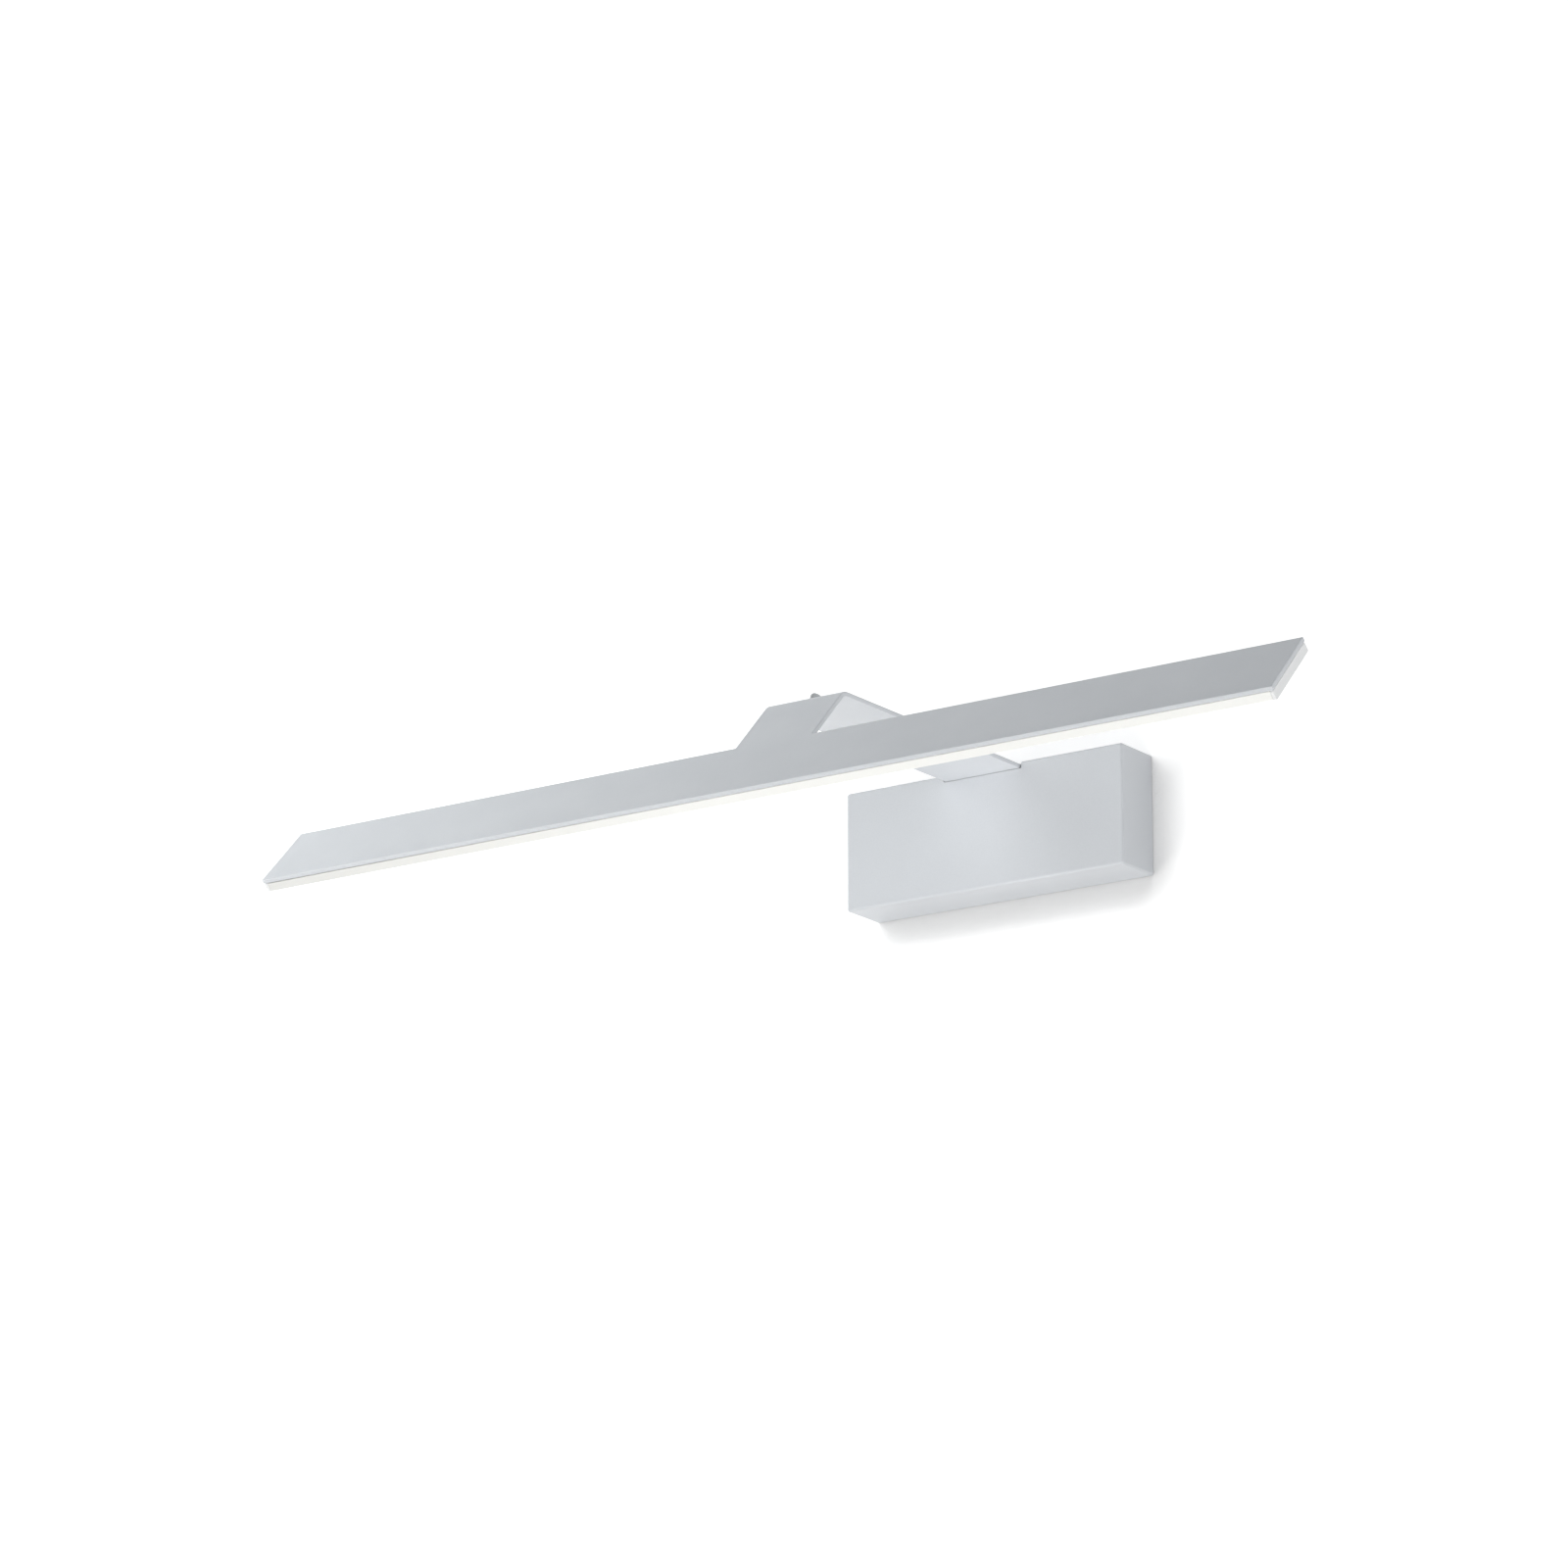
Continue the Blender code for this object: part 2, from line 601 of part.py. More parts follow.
def make_caps(parent):
    """A cap closes each end of the bar, and its plug sits inside the tray."""
    half_width = BAR_WIDTH / 2
    outline = [
        (half_width, -CAP_CHAMFER),
        (half_width - CAP_CHAMFER, 0),
        (-half_width + CAP_CHAMFER, 0),
        (-half_width, -CAP_CHAMFER),
        (-half_width, -BAR_DEPTH + CAP_CHAMFER),
        (-half_width + CAP_CHAMFER, -BAR_DEPTH),
        (half_width - CAP_CHAMFER, -BAR_DEPTH),
        (half_width, -BAR_DEPTH + CAP_CHAMFER),
    ]
    lid = guide("cap_lid", flat([outline], CAP, ALONG_X, CAP / 2))
    plug_half = TRAY_INSIDE - BEAD_REACH - SEAT
    plug_top = TRAY_TOP - SEAT
    plug = box((-(CAP_PLUG + SEAT), -plug_half, plug_top - PLUG_HEIGHT), (CAP / 2, plug_half, plug_top))
    combine(lid, "UNION", [guide("cap_plug", plug)])
    mesh = settled(lid)
    outer = SHEET_LENGTH / 2 + SEAT
    add("end_cap_right", mesh, CAP_PLASTIC, at=(outer, 0, 0), parent=parent)
    add("end_cap_left", mesh, CAP_PLASTIC, at=(-outer, 0, 0), turn=(0, 0, pi), parent=parent)


def make_cover(parent):
    """The canopy box, open at the wall and notched where the arm leaves it."""
    depth = COVER_DEPTH - RIM_GAP
    modelled = bmesh.new()
    bmesh.ops.create_cube(modelled, size=1)
    bmesh.ops.scale(modelled, vec=(COVER_WIDTH, depth, COVER_HEIGHT), verts=modelled.verts)
    bmesh.ops.translate(modelled, vec=(0, -RIM_GAP - depth / 2, 0), verts=modelled.verts)
    back = [face for face in modelled.faces if round(face.normal.y) == 1]
    bmesh.ops.delete(modelled, geom=back, context="FACES_ONLY")
    cover = solid(modelled, PAINT, "cover", parent=parent)
    rounded = cover.modifiers.new("edges", "BEVEL")
    rounded.width = COVER_ROUND
    rounded.segments = 3
    wall = cover.modifiers.new("wall", "SOLIDIFY")
    wall.thickness = COVER_WALL
    wall.offset = -1
    wall.use_even_offset = True
    side = ARM_WIDTH / 2 + NOTCH_SIDE
    low = (-side, -COVER_DEPTH - OVERRUN, ARM_UNDER - NOTCH_UNDER)
    high = (side, OVERRUN, TOP + OVERRUN)
    cutters = [guide("arm_notch", box(low, high), parent=parent)]
    for x in (-COVER_SCREW_X, COVER_SCREW_X):
        top = (x, -COVER_SCREW_Y, TOP + OVERRUN)
        foot = (x, -COVER_SCREW_Y, TOP - COVER_WALL - OVERRUN)
        cutters.append(guide("screw_hole", rod(COVER_SCREW_RADIUS + SEAT, foot, top), parent=parent))
    combine(cover, "DIFFERENCE", cutters)
    shade(cover)


def pan_screw(head_radius, head_height, shank_radius, length):
    """A pan-head screw along Z, with the underside of its head at zero."""
    crown = head_height * CROWN_SHARE
    tip = shank_radius * TIP_SHARE
    flat_share, shoulder_share = CROWN_SHARES
    profile = [
        (0, head_height),
        (head_radius * flat_share, head_height),
        (head_radius * shoulder_share, head_height - crown),
        (head_radius, head_height - 2 * crown),
        (head_radius, 0),
        (shank_radius, 0),
        (shank_radius, -length + tip),
        (shank_radius - tip, -length),
        (0, -length),
    ]
    return turned(profile)


def hexagon_nut(across, height, bore):
    """A plain nut along Z, with its lower face at zero."""
    corner = across / (2 * cos(pi / 6))
    hexagon = arc((0, 0), corner, 0, 2 * pi, 6)[:-1]
    return flat([hexagon, circle((0, 0), bore)], height, ALONG_Z, height / 2)


def make_cover_fixings(parent):
    """Two screws on top, each with its nut below the backplate's tab."""
    top = TOP + SEAT
    tab_under = TOP - COVER_WALL - SEAT - TAB_THICKNESS
    screw = pan_screw(
        COVER_SCREW_HEAD_RADIUS, COVER_SCREW_HEAD_HEIGHT, COVER_SCREW_RADIUS, COVER_SCREW_LENGTH
    )
    nut = hexagon_nut(COVER_NUT_ACROSS, COVER_NUT_HEIGHT, COVER_SCREW_RADIUS + SEAT)
    nut_foot = tab_under - SEAT - COVER_NUT_HEIGHT
    for side, x in (("left", -COVER_SCREW_X), ("right", COVER_SCREW_X)):
        shade(add("cover_screw_" + side, screw, STEEL, at=(x, -COVER_SCREW_Y, top), parent=parent))
        add("cover_nut_" + side, nut, ZINC, at=(x, -COVER_SCREW_Y, nut_foot), parent=parent)


def make_backplate():
    """The steel plate on the wall, with its welded studs and the two tabs for the cover."""
    inside_x = RIGHT - COVER_WALL - PLATE_CLEARANCE
    inside_z = TOP - COVER_WALL - PLATE_CLEARANCE
    outline = round_rectangle((0, 0), 2 * inside_x, 2 * inside_z, PLATE_ROUND)
    plate = add("backplate", flat([outline], PLATE, ALONG_Y, PLATE / 2), ZINC)

    front, behind = -PLATE - OVERRUN, OVERRUN
    cable = rod(CABLE_HOLE_RADIUS, (CABLE_X, behind, CABLE_Z), (CABLE_X, front, CABLE_Z))
    cutters = [guide("cable_hole", cable)]
    for x in (-WALL_SLOT_X, WALL_SLOT_X):
        opening = slot((x, WALL_SLOT_Z), WALL_SLOT_WIDTH, WALL_SLOT_LENGTH)
        cutters.append(guide("wall_slot", flat([opening], PLATE + 2 * OVERRUN, ALONG_Y, PLATE / 2)))
    for x in driver_screw_places():
        hole = rod(DRIVER_SCREW_RADIUS + SEAT, (x, behind, DRIVER_CENTRE_Z), (x, front, DRIVER_CENTRE_Z))
        cutters.append(guide("driver_screw_hole", hole))
    combine(plate, "DIFFERENCE", cutters)

    joined = []
    root = -PLATE / 2
    for x in (-STUD_X, STUD_X):
        end = (x, -PLATE - ARM_STUD_REACH, STUD_Z)
        joined.append(guide("arm_stud", rod(STUD_RADIUS, (x, root, STUD_Z), end)))
    end = (EARTH_X, -PLATE - EARTH_STUD_REACH, EARTH_Z)
    joined.append(guide("earth_stud", rod(STUD_RADIUS, (EARTH_X, root, EARTH_Z), end)))

    tab_top = TOP - COVER_WALL - SEAT
    throat = COVER_SCREW_RADIUS + SEAT
    for x in (-COVER_SCREW_X, COVER_SCREW_X):
        left, right = x - TAB_WIDTH / 2, x + TAB_WIDTH / 2
        outline = [(right, root), (left, root), (left, -TAB_REACH), (x - throat, -TAB_REACH)]
        outline += arc((x, -COVER_SCREW_Y), throat, pi, 0)
        outline += [(x + throat, -TAB_REACH), (right, -TAB_REACH)]
        tab = flat([outline], TAB_THICKNESS, ALONG_Z, tab_top - TAB_THICKNESS / 2)
        joined.append(guide("cover_tab", tab))
    combine(plate, "UNION", joined)


def driver_screw_places():
    """Where the two driver screws stand along X."""
    return DRIVER_LEFT - LUG_LENGTH / 2, DRIVER_RIGHT + LUG_LENGTH / 2


def make_arm_fixings():
    """A washer and a nut on each stud clamp the arm's flange to the backplate."""
    ring = [circle((0, 0), WASHER_RADIUS), circle((0, 0), STUD_RADIUS + SEAT)]
    washer = flat(ring, WASHER, ALONG_Z, WASHER / 2)
    nut = hexagon_nut(STUD_NUT_ACROSS, STUD_NUT_HEIGHT, STUD_RADIUS + SEAT)
    washer_back = PLATE_FRONT - SHEET - SEAT
    nut_back = washer_back - WASHER - SEAT
    for side, x in (("left", -STUD_X), ("right", STUD_X)):
        add("arm_washer_" + side, washer, STEEL, at=(x, washer_back, STUD_Z), turn=(pi / 2, 0, 0))
        add("arm_nut_" + side, nut, ZINC, at=(x, nut_back, STUD_Z), turn=(pi / 2, 0, 0))


def make_driver():
    """The driver: a closed plastic case with a fixing lug at each end."""
    low = (DRIVER_LEFT, DRIVER_FRONT, DRIVER_CENTRE_Z - DRIVER_HEIGHT / 2)
    high = (DRIVER_RIGHT, PLATE_FRONT, DRIVER_CENTRE_Z + DRIVER_HEIGHT / 2)
    case = add("driver_case", box(low, high), CASE_WHITE)
    edge = case.modifiers.new("edges", "BEVEL")
    edge.width = DRIVER_EDGE
    edge.segments = 2
    length = DRIVER_LENGTH + 2 * LUG_LENGTH
    outline = round_rectangle((DRIVER_X, DRIVER_CENTRE_Z), length, LUG_WIDTH, LUG_ROUND)
    holes = [circle((x, DRIVER_CENTRE_Z), DRIVER_SCREW_RADIUS + SEAT) for x in driver_screw_places()]
    middle = -(PLATE_FRONT - SEAT - LUG / 2)
    combine(case, "UNION", [guide("lugs", flat([outline] + holes, LUG, ALONG_Y, middle))])
    pockets = []
    for start, end, radius in driver_pockets():
        pockets.append(guide("wire_pocket", rod(radius + 2 * SEAT, start, end)))
    combine(case, "DIFFERENCE", pockets)

    head_back = PLATE_FRONT - SEAT - LUG - SEAT
    screw = pan_screw(
        DRIVER_SCREW_HEAD_RADIUS, DRIVER_SCREW_HEAD_HEIGHT, DRIVER_SCREW_RADIUS, -head_back - SEAT
    )
    for side, x in zip(("left", "right"), driver_screw_places()):
        place = (x, head_back, DRIVER_CENTRE_Z)
        shade(add("driver_screw_" + side, screw, STEEL, at=place, turn=(pi / 2, 0, 0)))


def driver_pockets():
    """The holes in the driver's ends: two for the mains wires, one for the lead to the bar."""
    places = []
    for z in pole_heights()[:2]:
        start = (DRIVER_LEFT - OVERRUN, WIRE_Y, z)
        places.append((start, (DRIVER_LEFT + WIRE_POCKET, WIRE_Y, z), WIRE_RADIUS))
    start = (DRIVER_RIGHT - WIRE_POCKET, LEAD_ENTRY_Y, DRIVER_CENTRE_Z)
    places.append((start, (DRIVER_RIGHT + OVERRUN, LEAD_ENTRY_Y, DRIVER_CENTRE_Z), LEAD_RADIUS))
    return places


def pole_heights():
    """Heights of the terminal poles, from the live one up to the earth one."""
    middle = (POLE_COUNT - 1) / 2
    return [BLOCK_Z + (index - middle) * POLE_PITCH for index in range(POLE_COUNT)]


def make_terminal_block():
    """The mains terminals: three poles on one base, each with a wire hole and a clamp screw."""
    half = BLOCK_LENGTH / 2
    heights = pole_heights()
    base_front = PLATE_FRONT - BLOCK_BASE
    pole_front = PLATE_FRONT - BLOCK_DEPTH
    reach = POLE_PITCH / 2
    low = (BLOCK_X - half, base_front, heights[0] - reach)
    high = (BLOCK_X + half, PLATE_FRONT, heights[-1] + reach)
    block = add("terminal_block", box(low, high), BLOCK_PLASTIC)
    towers = []
    cutters = []
    for z in heights:
        low = (BLOCK_X - half + POLE_EDGE, pole_front, z - POLE_WIDTH / 2)
        high = (BLOCK_X + half - POLE_EDGE, base_front + POLE_EDGE, z + POLE_WIDTH / 2)
        tower = guide("pole", box(low, high))
        soft = tower.modifiers.new("edges", "BEVEL")
        soft.width = POLE_EDGE
        soft.segments = 1
        towers.append(tower)
        left = (BLOCK_X - half - OVERRUN, WIRE_Y, z)
        right = (BLOCK_X + half + OVERRUN, WIRE_Y, z)
        cutters.append(guide("wire_hole", rod(WIRE_HOLE_RADIUS, left, right)))
        front = (BLOCK_X, pole_front - OVERRUN, z)
        cutters.append(guide("clamp_hole", rod(CLAMP_RADIUS + SEAT, front, (BLOCK_X, WIRE_Y, z))))
    combine(block, "UNION", towers)
    combine(block, "DIFFERENCE", cutters)

    clamp_back = WIRE_Y - WIRE_HOLE_RADIUS / 2
    length = clamp_back - (pole_front + CLAMP_SINK)
    clamp = rod(CLAMP_RADIUS, (0, 0, 0), (0, -length, 0))
    for index, z in enumerate(heights):
        shade(add("terminal_screw_" + str(index + 1), clamp, BRASS, at=(BLOCK_X, clamp_back, z)))


def make_earth_point():
    """The earth stud's ring tag, with its sleeve round the wire's end, and the nut on it."""
    place = (EARTH_X, PLATE_FRONT, EARTH_Z)
    ring = [circle((0, 0), TAG_RADIUS), circle((0, 0), STUD_RADIUS + SEAT)]
    tag = add("earth_tag", flat(ring, TAG, ALONG_Y, TAG / 2), STEEL, at=place)
    sleeve_y = -TAG_BARREL_RADIUS - SEAT
    top = -TAG_NECK
    foot = top - TAG_BARREL_LENGTH
    low = (-TAG_BARREL_RADIUS, -TAG / 2 - SEAT, (top + foot) / 2)
    high = (TAG_BARREL_RADIUS, -TAG / 2 + SEAT, TAG - TAG_RADIUS)
    sleeve = rod(TAG_BARREL_RADIUS, (0, sleeve_y, foot), (0, sleeve_y, top))
    bore = rod(WIRE_RADIUS + SEAT, (0, sleeve_y, foot - OVERRUN), (0, sleeve_y, top - SEAT))
    joined = [guide("tag_neck", box(low, high), at=place), guide("tag_sleeve", sleeve, at=place)]
    combine(tag, "UNION", joined)
    combine(tag, "DIFFERENCE", [guide("tag_bore", bore, at=place)])
    nut = hexagon_nut(STUD_NUT_ACROSS, STUD_NUT_HEIGHT, STUD_RADIUS + SEAT)
    add("earth_nut", nut, ZINC, at=(EARTH_X, PLATE_FRONT - TAG - SEAT, EARTH_Z), turn=(pi / 2, 0, 0))


def make_grommet():
    """The rubber grommet in the backplate's cable entry."""
    neck = CABLE_HOLE_RADIUS - SEAT
    lip = CABLE_HOLE_RADIUS + GROMMET_LIP
    back_lip = PLATE_FRONT + PLATE
    front = -PLATE - SEAT
    profile = [
        (GROMMET_BORE_RADIUS, GROMMET_LIP_HEIGHT),
        (neck + SEAT, GROMMET_LIP_HEIGHT),
        (lip, GROMMET_LIP_HEIGHT / 2),
        (lip, 0),
        (neck, 0),
        (neck, front - back_lip),
        (GROMMET_BORE_RADIUS, front - back_lip),
    ]
    ring = turned(profile + profile[:1])
    turn = (pi / 2, 0, 0)
    shade(add("cable_grommet", ring, RUBBER, at=(CABLE_X, front, CABLE_Z), turn=turn))


def make_bush():
    """The bush that guards the lead where it goes up through the arm."""
    bore = LEAD_RADIUS + SEAT
    neck = BUSH_HOLE_RADIUS - SEAT
    lip = BUSH_HOLE_RADIUS + BUSH_LIP
    half = SHEET / 2 + SEAT
    top = half + BUSH_LIP_HEIGHT
    profile = [
        (bore, top),
        (lip - BUSH_LIP_HEIGHT / 2, top),
        (lip, half + BUSH_LIP_HEIGHT / 2),
        (lip, half),
        (neck, half),
        (neck, -half),
        (lip, -half),
        (lip, -top),
        (bore, -top),
    ]
    ring = turned(profile + profile[:1])
    shade(add("lead_bush", ring, RUBBER, at=(0, LEAD_ENTRY_Y, ARM_TOP - SHEET / 2)))


def make_clips():
    """Saddle clips hold the lead on top of the arm."""
    inside = LEAD_RADIUS + SEAT
    foot_z = ARM_TOP + SEAT
    crown_z = ARM_TOP + LEAD_LIFT
    line = [(-inside - CLIP_FOOT, foot_z), (-inside, foot_z)]
    line += arc((0, crown_z), inside, pi, 0)
    line += [(inside, foot_z), (inside + CLIP_FOOT, foot_z)]
    for index, y in enumerate(CLIP_PLACES):
        modelled = bmesh.new()
        points = [modelled.verts.new((x, y - CLIP_LENGTH / 2, z)) for x, z in line]
        edges = [modelled.edges.new(pair) for pair in zip(points, points[1:])]
        made = bmesh.ops.extrude_edge_only(modelled, edges=edges)["geom"]
        moved = [thing for thing in made if isinstance(thing, bmesh.types.BMVert)]
        bmesh.ops.translate(modelled, vec=(0, CLIP_LENGTH, 0), verts=moved)
        clip = solid(modelled, CAP_PLASTIC, "lead_clip_" + str(index + 1))
        thick = clip.modifiers.new("strip", "SOLIDIFY")
        thick.thickness = CLIP_SHEET
        thick.offset = -1
        thick.use_even_offset = True
        shade(clip)


def lead_route():
    """The lead: out of the driver, up through the arm, along its top, down at the fold, into the tray."""
    y = LEAD_ENTRY_Y
    inner_side = RIGHT - COVER_WALL
    shelf = DRIVER_CENTRE_Z + DRIVER_HEIGHT / 2 + LEAD_LOFT * SHELF_SHARE
    run = ARM_TOP + LEAD_LIFT
    route = [(DRIVER_RIGHT - WIRE_POCKET + SEAT, y, DRIVER_CENTRE_Z)]
    route.append((DRIVER_RIGHT + LEAD_DIAMETER, y, DRIVER_CENTRE_Z))
    route += [(inner_side - LEAD_LOFT * a, y, DRIVER_CENTRE_Z + LEAD_LOFT * up) for a, up in TURN_SHARES]
    route += [(inner_side - LEAD_LOFT * a, y, shelf + LEAD_LOFT * up) for a, up in OVER_SHARES]
    route.append((ARM_WIDTH / 2, y, shelf + LEAD_RADIUS + LEAD_RADIUS / 2))
    route += [(LEAD_LOFT * a, y, shelf + LEAD_LOFT * up) for a, up in RISE_SHARES]
    route += [(0, y, ARM_UNDER - LEAD_DIAMETER), (0, y, ARM_UNDER)]
    route += [(0, y - LEAD_LOFT * on, run + LEAD_LOFT * up) for on, up in ARCH_SHARES]
    route += [(0, place, run) for place in CLIP_PLACES]
    route += [(0, FOLD.y + LEAD_LOFT * back, run + LEAD_LOFT * up) for back, up in FOLD_SHARES]
    board_edge = ARM_SLOPE + BAR_WIDTH / 2 - BOARD_WIDTH / 2
    distances = (ARM_SLOPE / 4, ARM_SLOPE / 2, ARM_SLOPE, board_edge - LEAD_RADIUS)
    route += [FOLD + DOWN_SLOPE * distance - OUTWARD * LEAD_DEPTH for distance in distances]
    return route


def make_wiring():
    """The two mains wires to the driver, the earth wire to its tag, and the lead to the bar."""
    live, neutral, earth = pole_heights()
    block_end = BLOCK_X + BLOCK_LENGTH / 2
    inside = block_end - BLOCK_LENGTH / 4
    middle = (block_end + DRIVER_LEFT) / 2
    for name, z, material in (("live_wire", live, BROWN), ("neutral_wire", neutral, BLUE)):
        belly = (middle, WIRE_Y - WIRE_DIAMETER, z)
        end = (DRIVER_LEFT + WIRE_POCKET - SEAT, WIRE_Y, z)
        route = [(inside, WIRE_Y, z), (block_end + WIRE_DIAMETER, WIRE_Y, z), belly]
        route += [(DRIVER_LEFT - WIRE_DIAMETER, WIRE_Y, z), end]
        tube(name, route, WIRE_DIAMETER, material)
    sleeve_y = PLATE_FRONT - TAG_BARREL_RADIUS - SEAT
    foot = EARTH_Z - TAG_NECK - TAG_BARREL_LENGTH
    swing = (EARTH_X + block_end) / 2
    route = [
        (inside, WIRE_Y, earth),
        (block_end + WIRE_DIAMETER, WIRE_Y, earth),
        (swing + WIRE_DIAMETER * 2, (WIRE_Y + sleeve_y) / 2, earth + WIRE_DIAMETER / 2),
        (EARTH_X, sleeve_y, foot - WIRE_DIAMETER * 2),
        (EARTH_X, sleeve_y, foot + TAG_BARREL_LENGTH / 2),
    ]
    tube("earth_wire", route, WIRE_DIAMETER, GREEN)
    tube("led_lead", lead_route(), LEAD_DIAMETER, LEAD_GREY)


def main():
    """Build the whole light."""
    bar = empty("bar_frame", at=BAR_CENTRE, turn=(BAR_TILT, 0, 0))
    slide = empty("cover_slide")
    make_backplate()
    make_folded_arm()
    make_arm_fixings()
    make_tray(bar)
    make_carrier(bar)
    make_board(bar)
    make_caps(bar)
    make_cover(slide)
    make_cover_fixings(slide)
    make_driver()
    make_terminal_block()
    make_earth_point()
    make_grommet()
    make_bush()
    make_clips()
    make_wiring()
    bpy.context.view_layer.update()


main()
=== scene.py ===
# %% [markdown]
# This file dresses a slim LED light for the wall above a mirror or a picture. A flat canopy box
# sits on the wall. One folded sheet leaves its top edge as an arm, folds down and widens into a
# long bar, and an opal tray under the bar glows. The model could be copied by eye, but the packed
# frame is loaded instead, and each piece takes its place from it, so that both stay in step.

from math import atan, ceil, cos, pi, radians, sin, tan

import bmesh
import bpy
from mathutils import Matrix, Vector


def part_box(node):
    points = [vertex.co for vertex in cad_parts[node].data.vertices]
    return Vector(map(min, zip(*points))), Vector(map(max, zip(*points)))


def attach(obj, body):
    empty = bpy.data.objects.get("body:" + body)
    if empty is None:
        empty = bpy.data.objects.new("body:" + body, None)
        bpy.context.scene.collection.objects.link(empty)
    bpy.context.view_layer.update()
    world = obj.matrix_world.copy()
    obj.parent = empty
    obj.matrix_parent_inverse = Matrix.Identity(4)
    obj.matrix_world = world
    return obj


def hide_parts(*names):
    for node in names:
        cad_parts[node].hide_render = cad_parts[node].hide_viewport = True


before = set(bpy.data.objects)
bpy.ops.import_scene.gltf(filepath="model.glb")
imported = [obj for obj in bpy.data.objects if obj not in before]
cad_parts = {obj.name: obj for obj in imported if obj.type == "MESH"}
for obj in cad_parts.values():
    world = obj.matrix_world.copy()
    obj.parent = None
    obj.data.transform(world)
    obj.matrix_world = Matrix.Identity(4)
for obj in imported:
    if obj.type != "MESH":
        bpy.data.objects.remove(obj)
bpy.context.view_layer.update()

# %% [markdown]
# The main sizes come first. Those that the frame's boxes give are read from them. A bend's radius
# or a sheet's thickness can't be read from a box, so it has a named value in metres. X runs along
# the bar, the wall is the plane where Y is zero, and the front is towards -Y.

# %% Sizes
SEAT = 0.0003
SHEET = 0.0025
BEND_RADIUS = 0.0020
FOLD_RADIUS = 0.0055
FLANGE_HEIGHT = 0.0220
ARM_WIDTH = 0.046
ARM_REACH = 0.1885
ARM_SLOPE = 0.040
BAR_WIDTH = 0.044
BAR_DEPTH = 0.0077
BAR_TILT = radians(46)


def middle(node):
    """The middle of a node's box."""
    return sum(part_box(node), Vector()) / 2


arm_low, arm_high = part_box("folded_arm")
cover_low, cover_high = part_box("cover")
plate_low, plate_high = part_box("backplate")
ARM_TOP = arm_high.z
ARM_UNDER = ARM_TOP - SHEET
BAR_LENGTH = 2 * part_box("end_cap_right")[1].x
TRAY_LENGTH = arm_high.x - arm_low.x
TOP = cover_high.z
DOWN_SLOPE = Vector((0, -cos(BAR_TILT), -sin(BAR_TILT)))
OUTWARD = Vector((0, -sin(BAR_TILT), cos(BAR_TILT)))
FOLD = Vector((0, -ARM_REACH, ARM_TOP))
BAR_CENTRE = FOLD + DOWN_SLOPE * (ARM_SLOPE + BAR_WIDTH / 2)
BAR_FRAME = Matrix.Translation(BAR_CENTRE) @ Matrix.Rotation(BAR_TILT, 4, "X")
UPRIGHT = Matrix.Identity(4)
print("Bar", round(BAR_LENGTH, 4), "m long, arm", ARM_REACH, "m from the wall to the fold")

# %% [markdown]
# The camera stands low and to the right, as a customer would who looks up at the light. It could
# be turned by angles, but a place and a direction are easier to check against measured corners.
# The lens is long, so the bar's far end is hardly smaller than its near end.

# %% Camera
CAMERA_PLACE = Vector((1.6078, -2.4979, -0.8125))
CAMERA_LOOK = Vector((-0.55265, 0.78737, 0.27317))
LENS_MM = 136.0
CLIP_END = 50

camera_data = bpy.data.cameras.new("camera")
camera_data.lens = LENS_MM
camera_data.clip_end = CLIP_END
camera = bpy.data.objects.new("camera", camera_data)
camera.location = CAMERA_PLACE
camera.rotation_euler = CAMERA_LOOK.to_track_quat("-Z", "Y").to_euler()
bpy.context.scene.collection.objects.link(camera)
bpy.context.scene.camera = camera
print("Camera", round((CAMERA_PLACE - BAR_CENTRE).length, 2), "m from the bar")

# %% [markdown]
# Colours are written as they show on a screen, from 0 to 255. Blender mixes light, so a small
# function turns one into the other. A material is a tree of nodes, and each node takes several
# lines to add by hand. A class does it in one, with the sockets set by name. A second class starts
# a material and knows the few steps that every finish here is made of.

# %% Helpers for materials
WHITE = (1, 1, 1, 1)
SCREEN_MOST = 255
SCREEN_OFFSET = 0.055
SCREEN_POWER = 2.4
NOISE_LOW = 0.3
NOISE_HIGH = 0.7


def tone(red, green, blue):
    """A colour as a screen shows it, turned into the light values that Blender mixes."""
    shares = [value / SCREEN_MOST for value in (red, green, blue)]
    return (*[((share + SCREEN_OFFSET) / (1 + SCREEN_OFFSET)) ** SCREEN_POWER for share in shares], 1)


class Nodes:
    """A tree of shader nodes, with short ways to add to it."""

    def __init__(self, tree):
        self.tree = tree

    def feed(self, socket, value):
        """Set a socket to a value, or link it to another node's output."""
        if hasattr(value, "is_output"):
            self.tree.links.new(value, socket)
        else:
            socket.default_value = value

    def fill(self, node, **sockets):
        """Feed a node's sockets by name."""
        for name, value in sockets.items():
            self.feed(node.inputs[name.replace("_", " ")], value)

    def add(self, kind, **sockets):
        """A new node, with its sockets fed by name."""
        node = self.tree.nodes.new("ShaderNode" + kind)
        self.fill(node, **sockets)
        return node

    def math(self, operation, first, second):
        """One sum of two values or outputs."""
        node = self.add("Math")
        node.operation = operation
        self.feed(node.inputs[0], first)
        self.feed(node.inputs[1], second)
        return node.outputs["Value"]

    def seen(self):
        """One where the camera, a reflection or a clear body looks at a thing, and nought else."""
        path = self.add("LightPath").outputs
        direct = self.math("MAXIMUM", path["Is Camera Ray"], path["Is Glossy Ray"])
        return self.math("MAXIMUM", direct, path["Is Transmission Ray"])


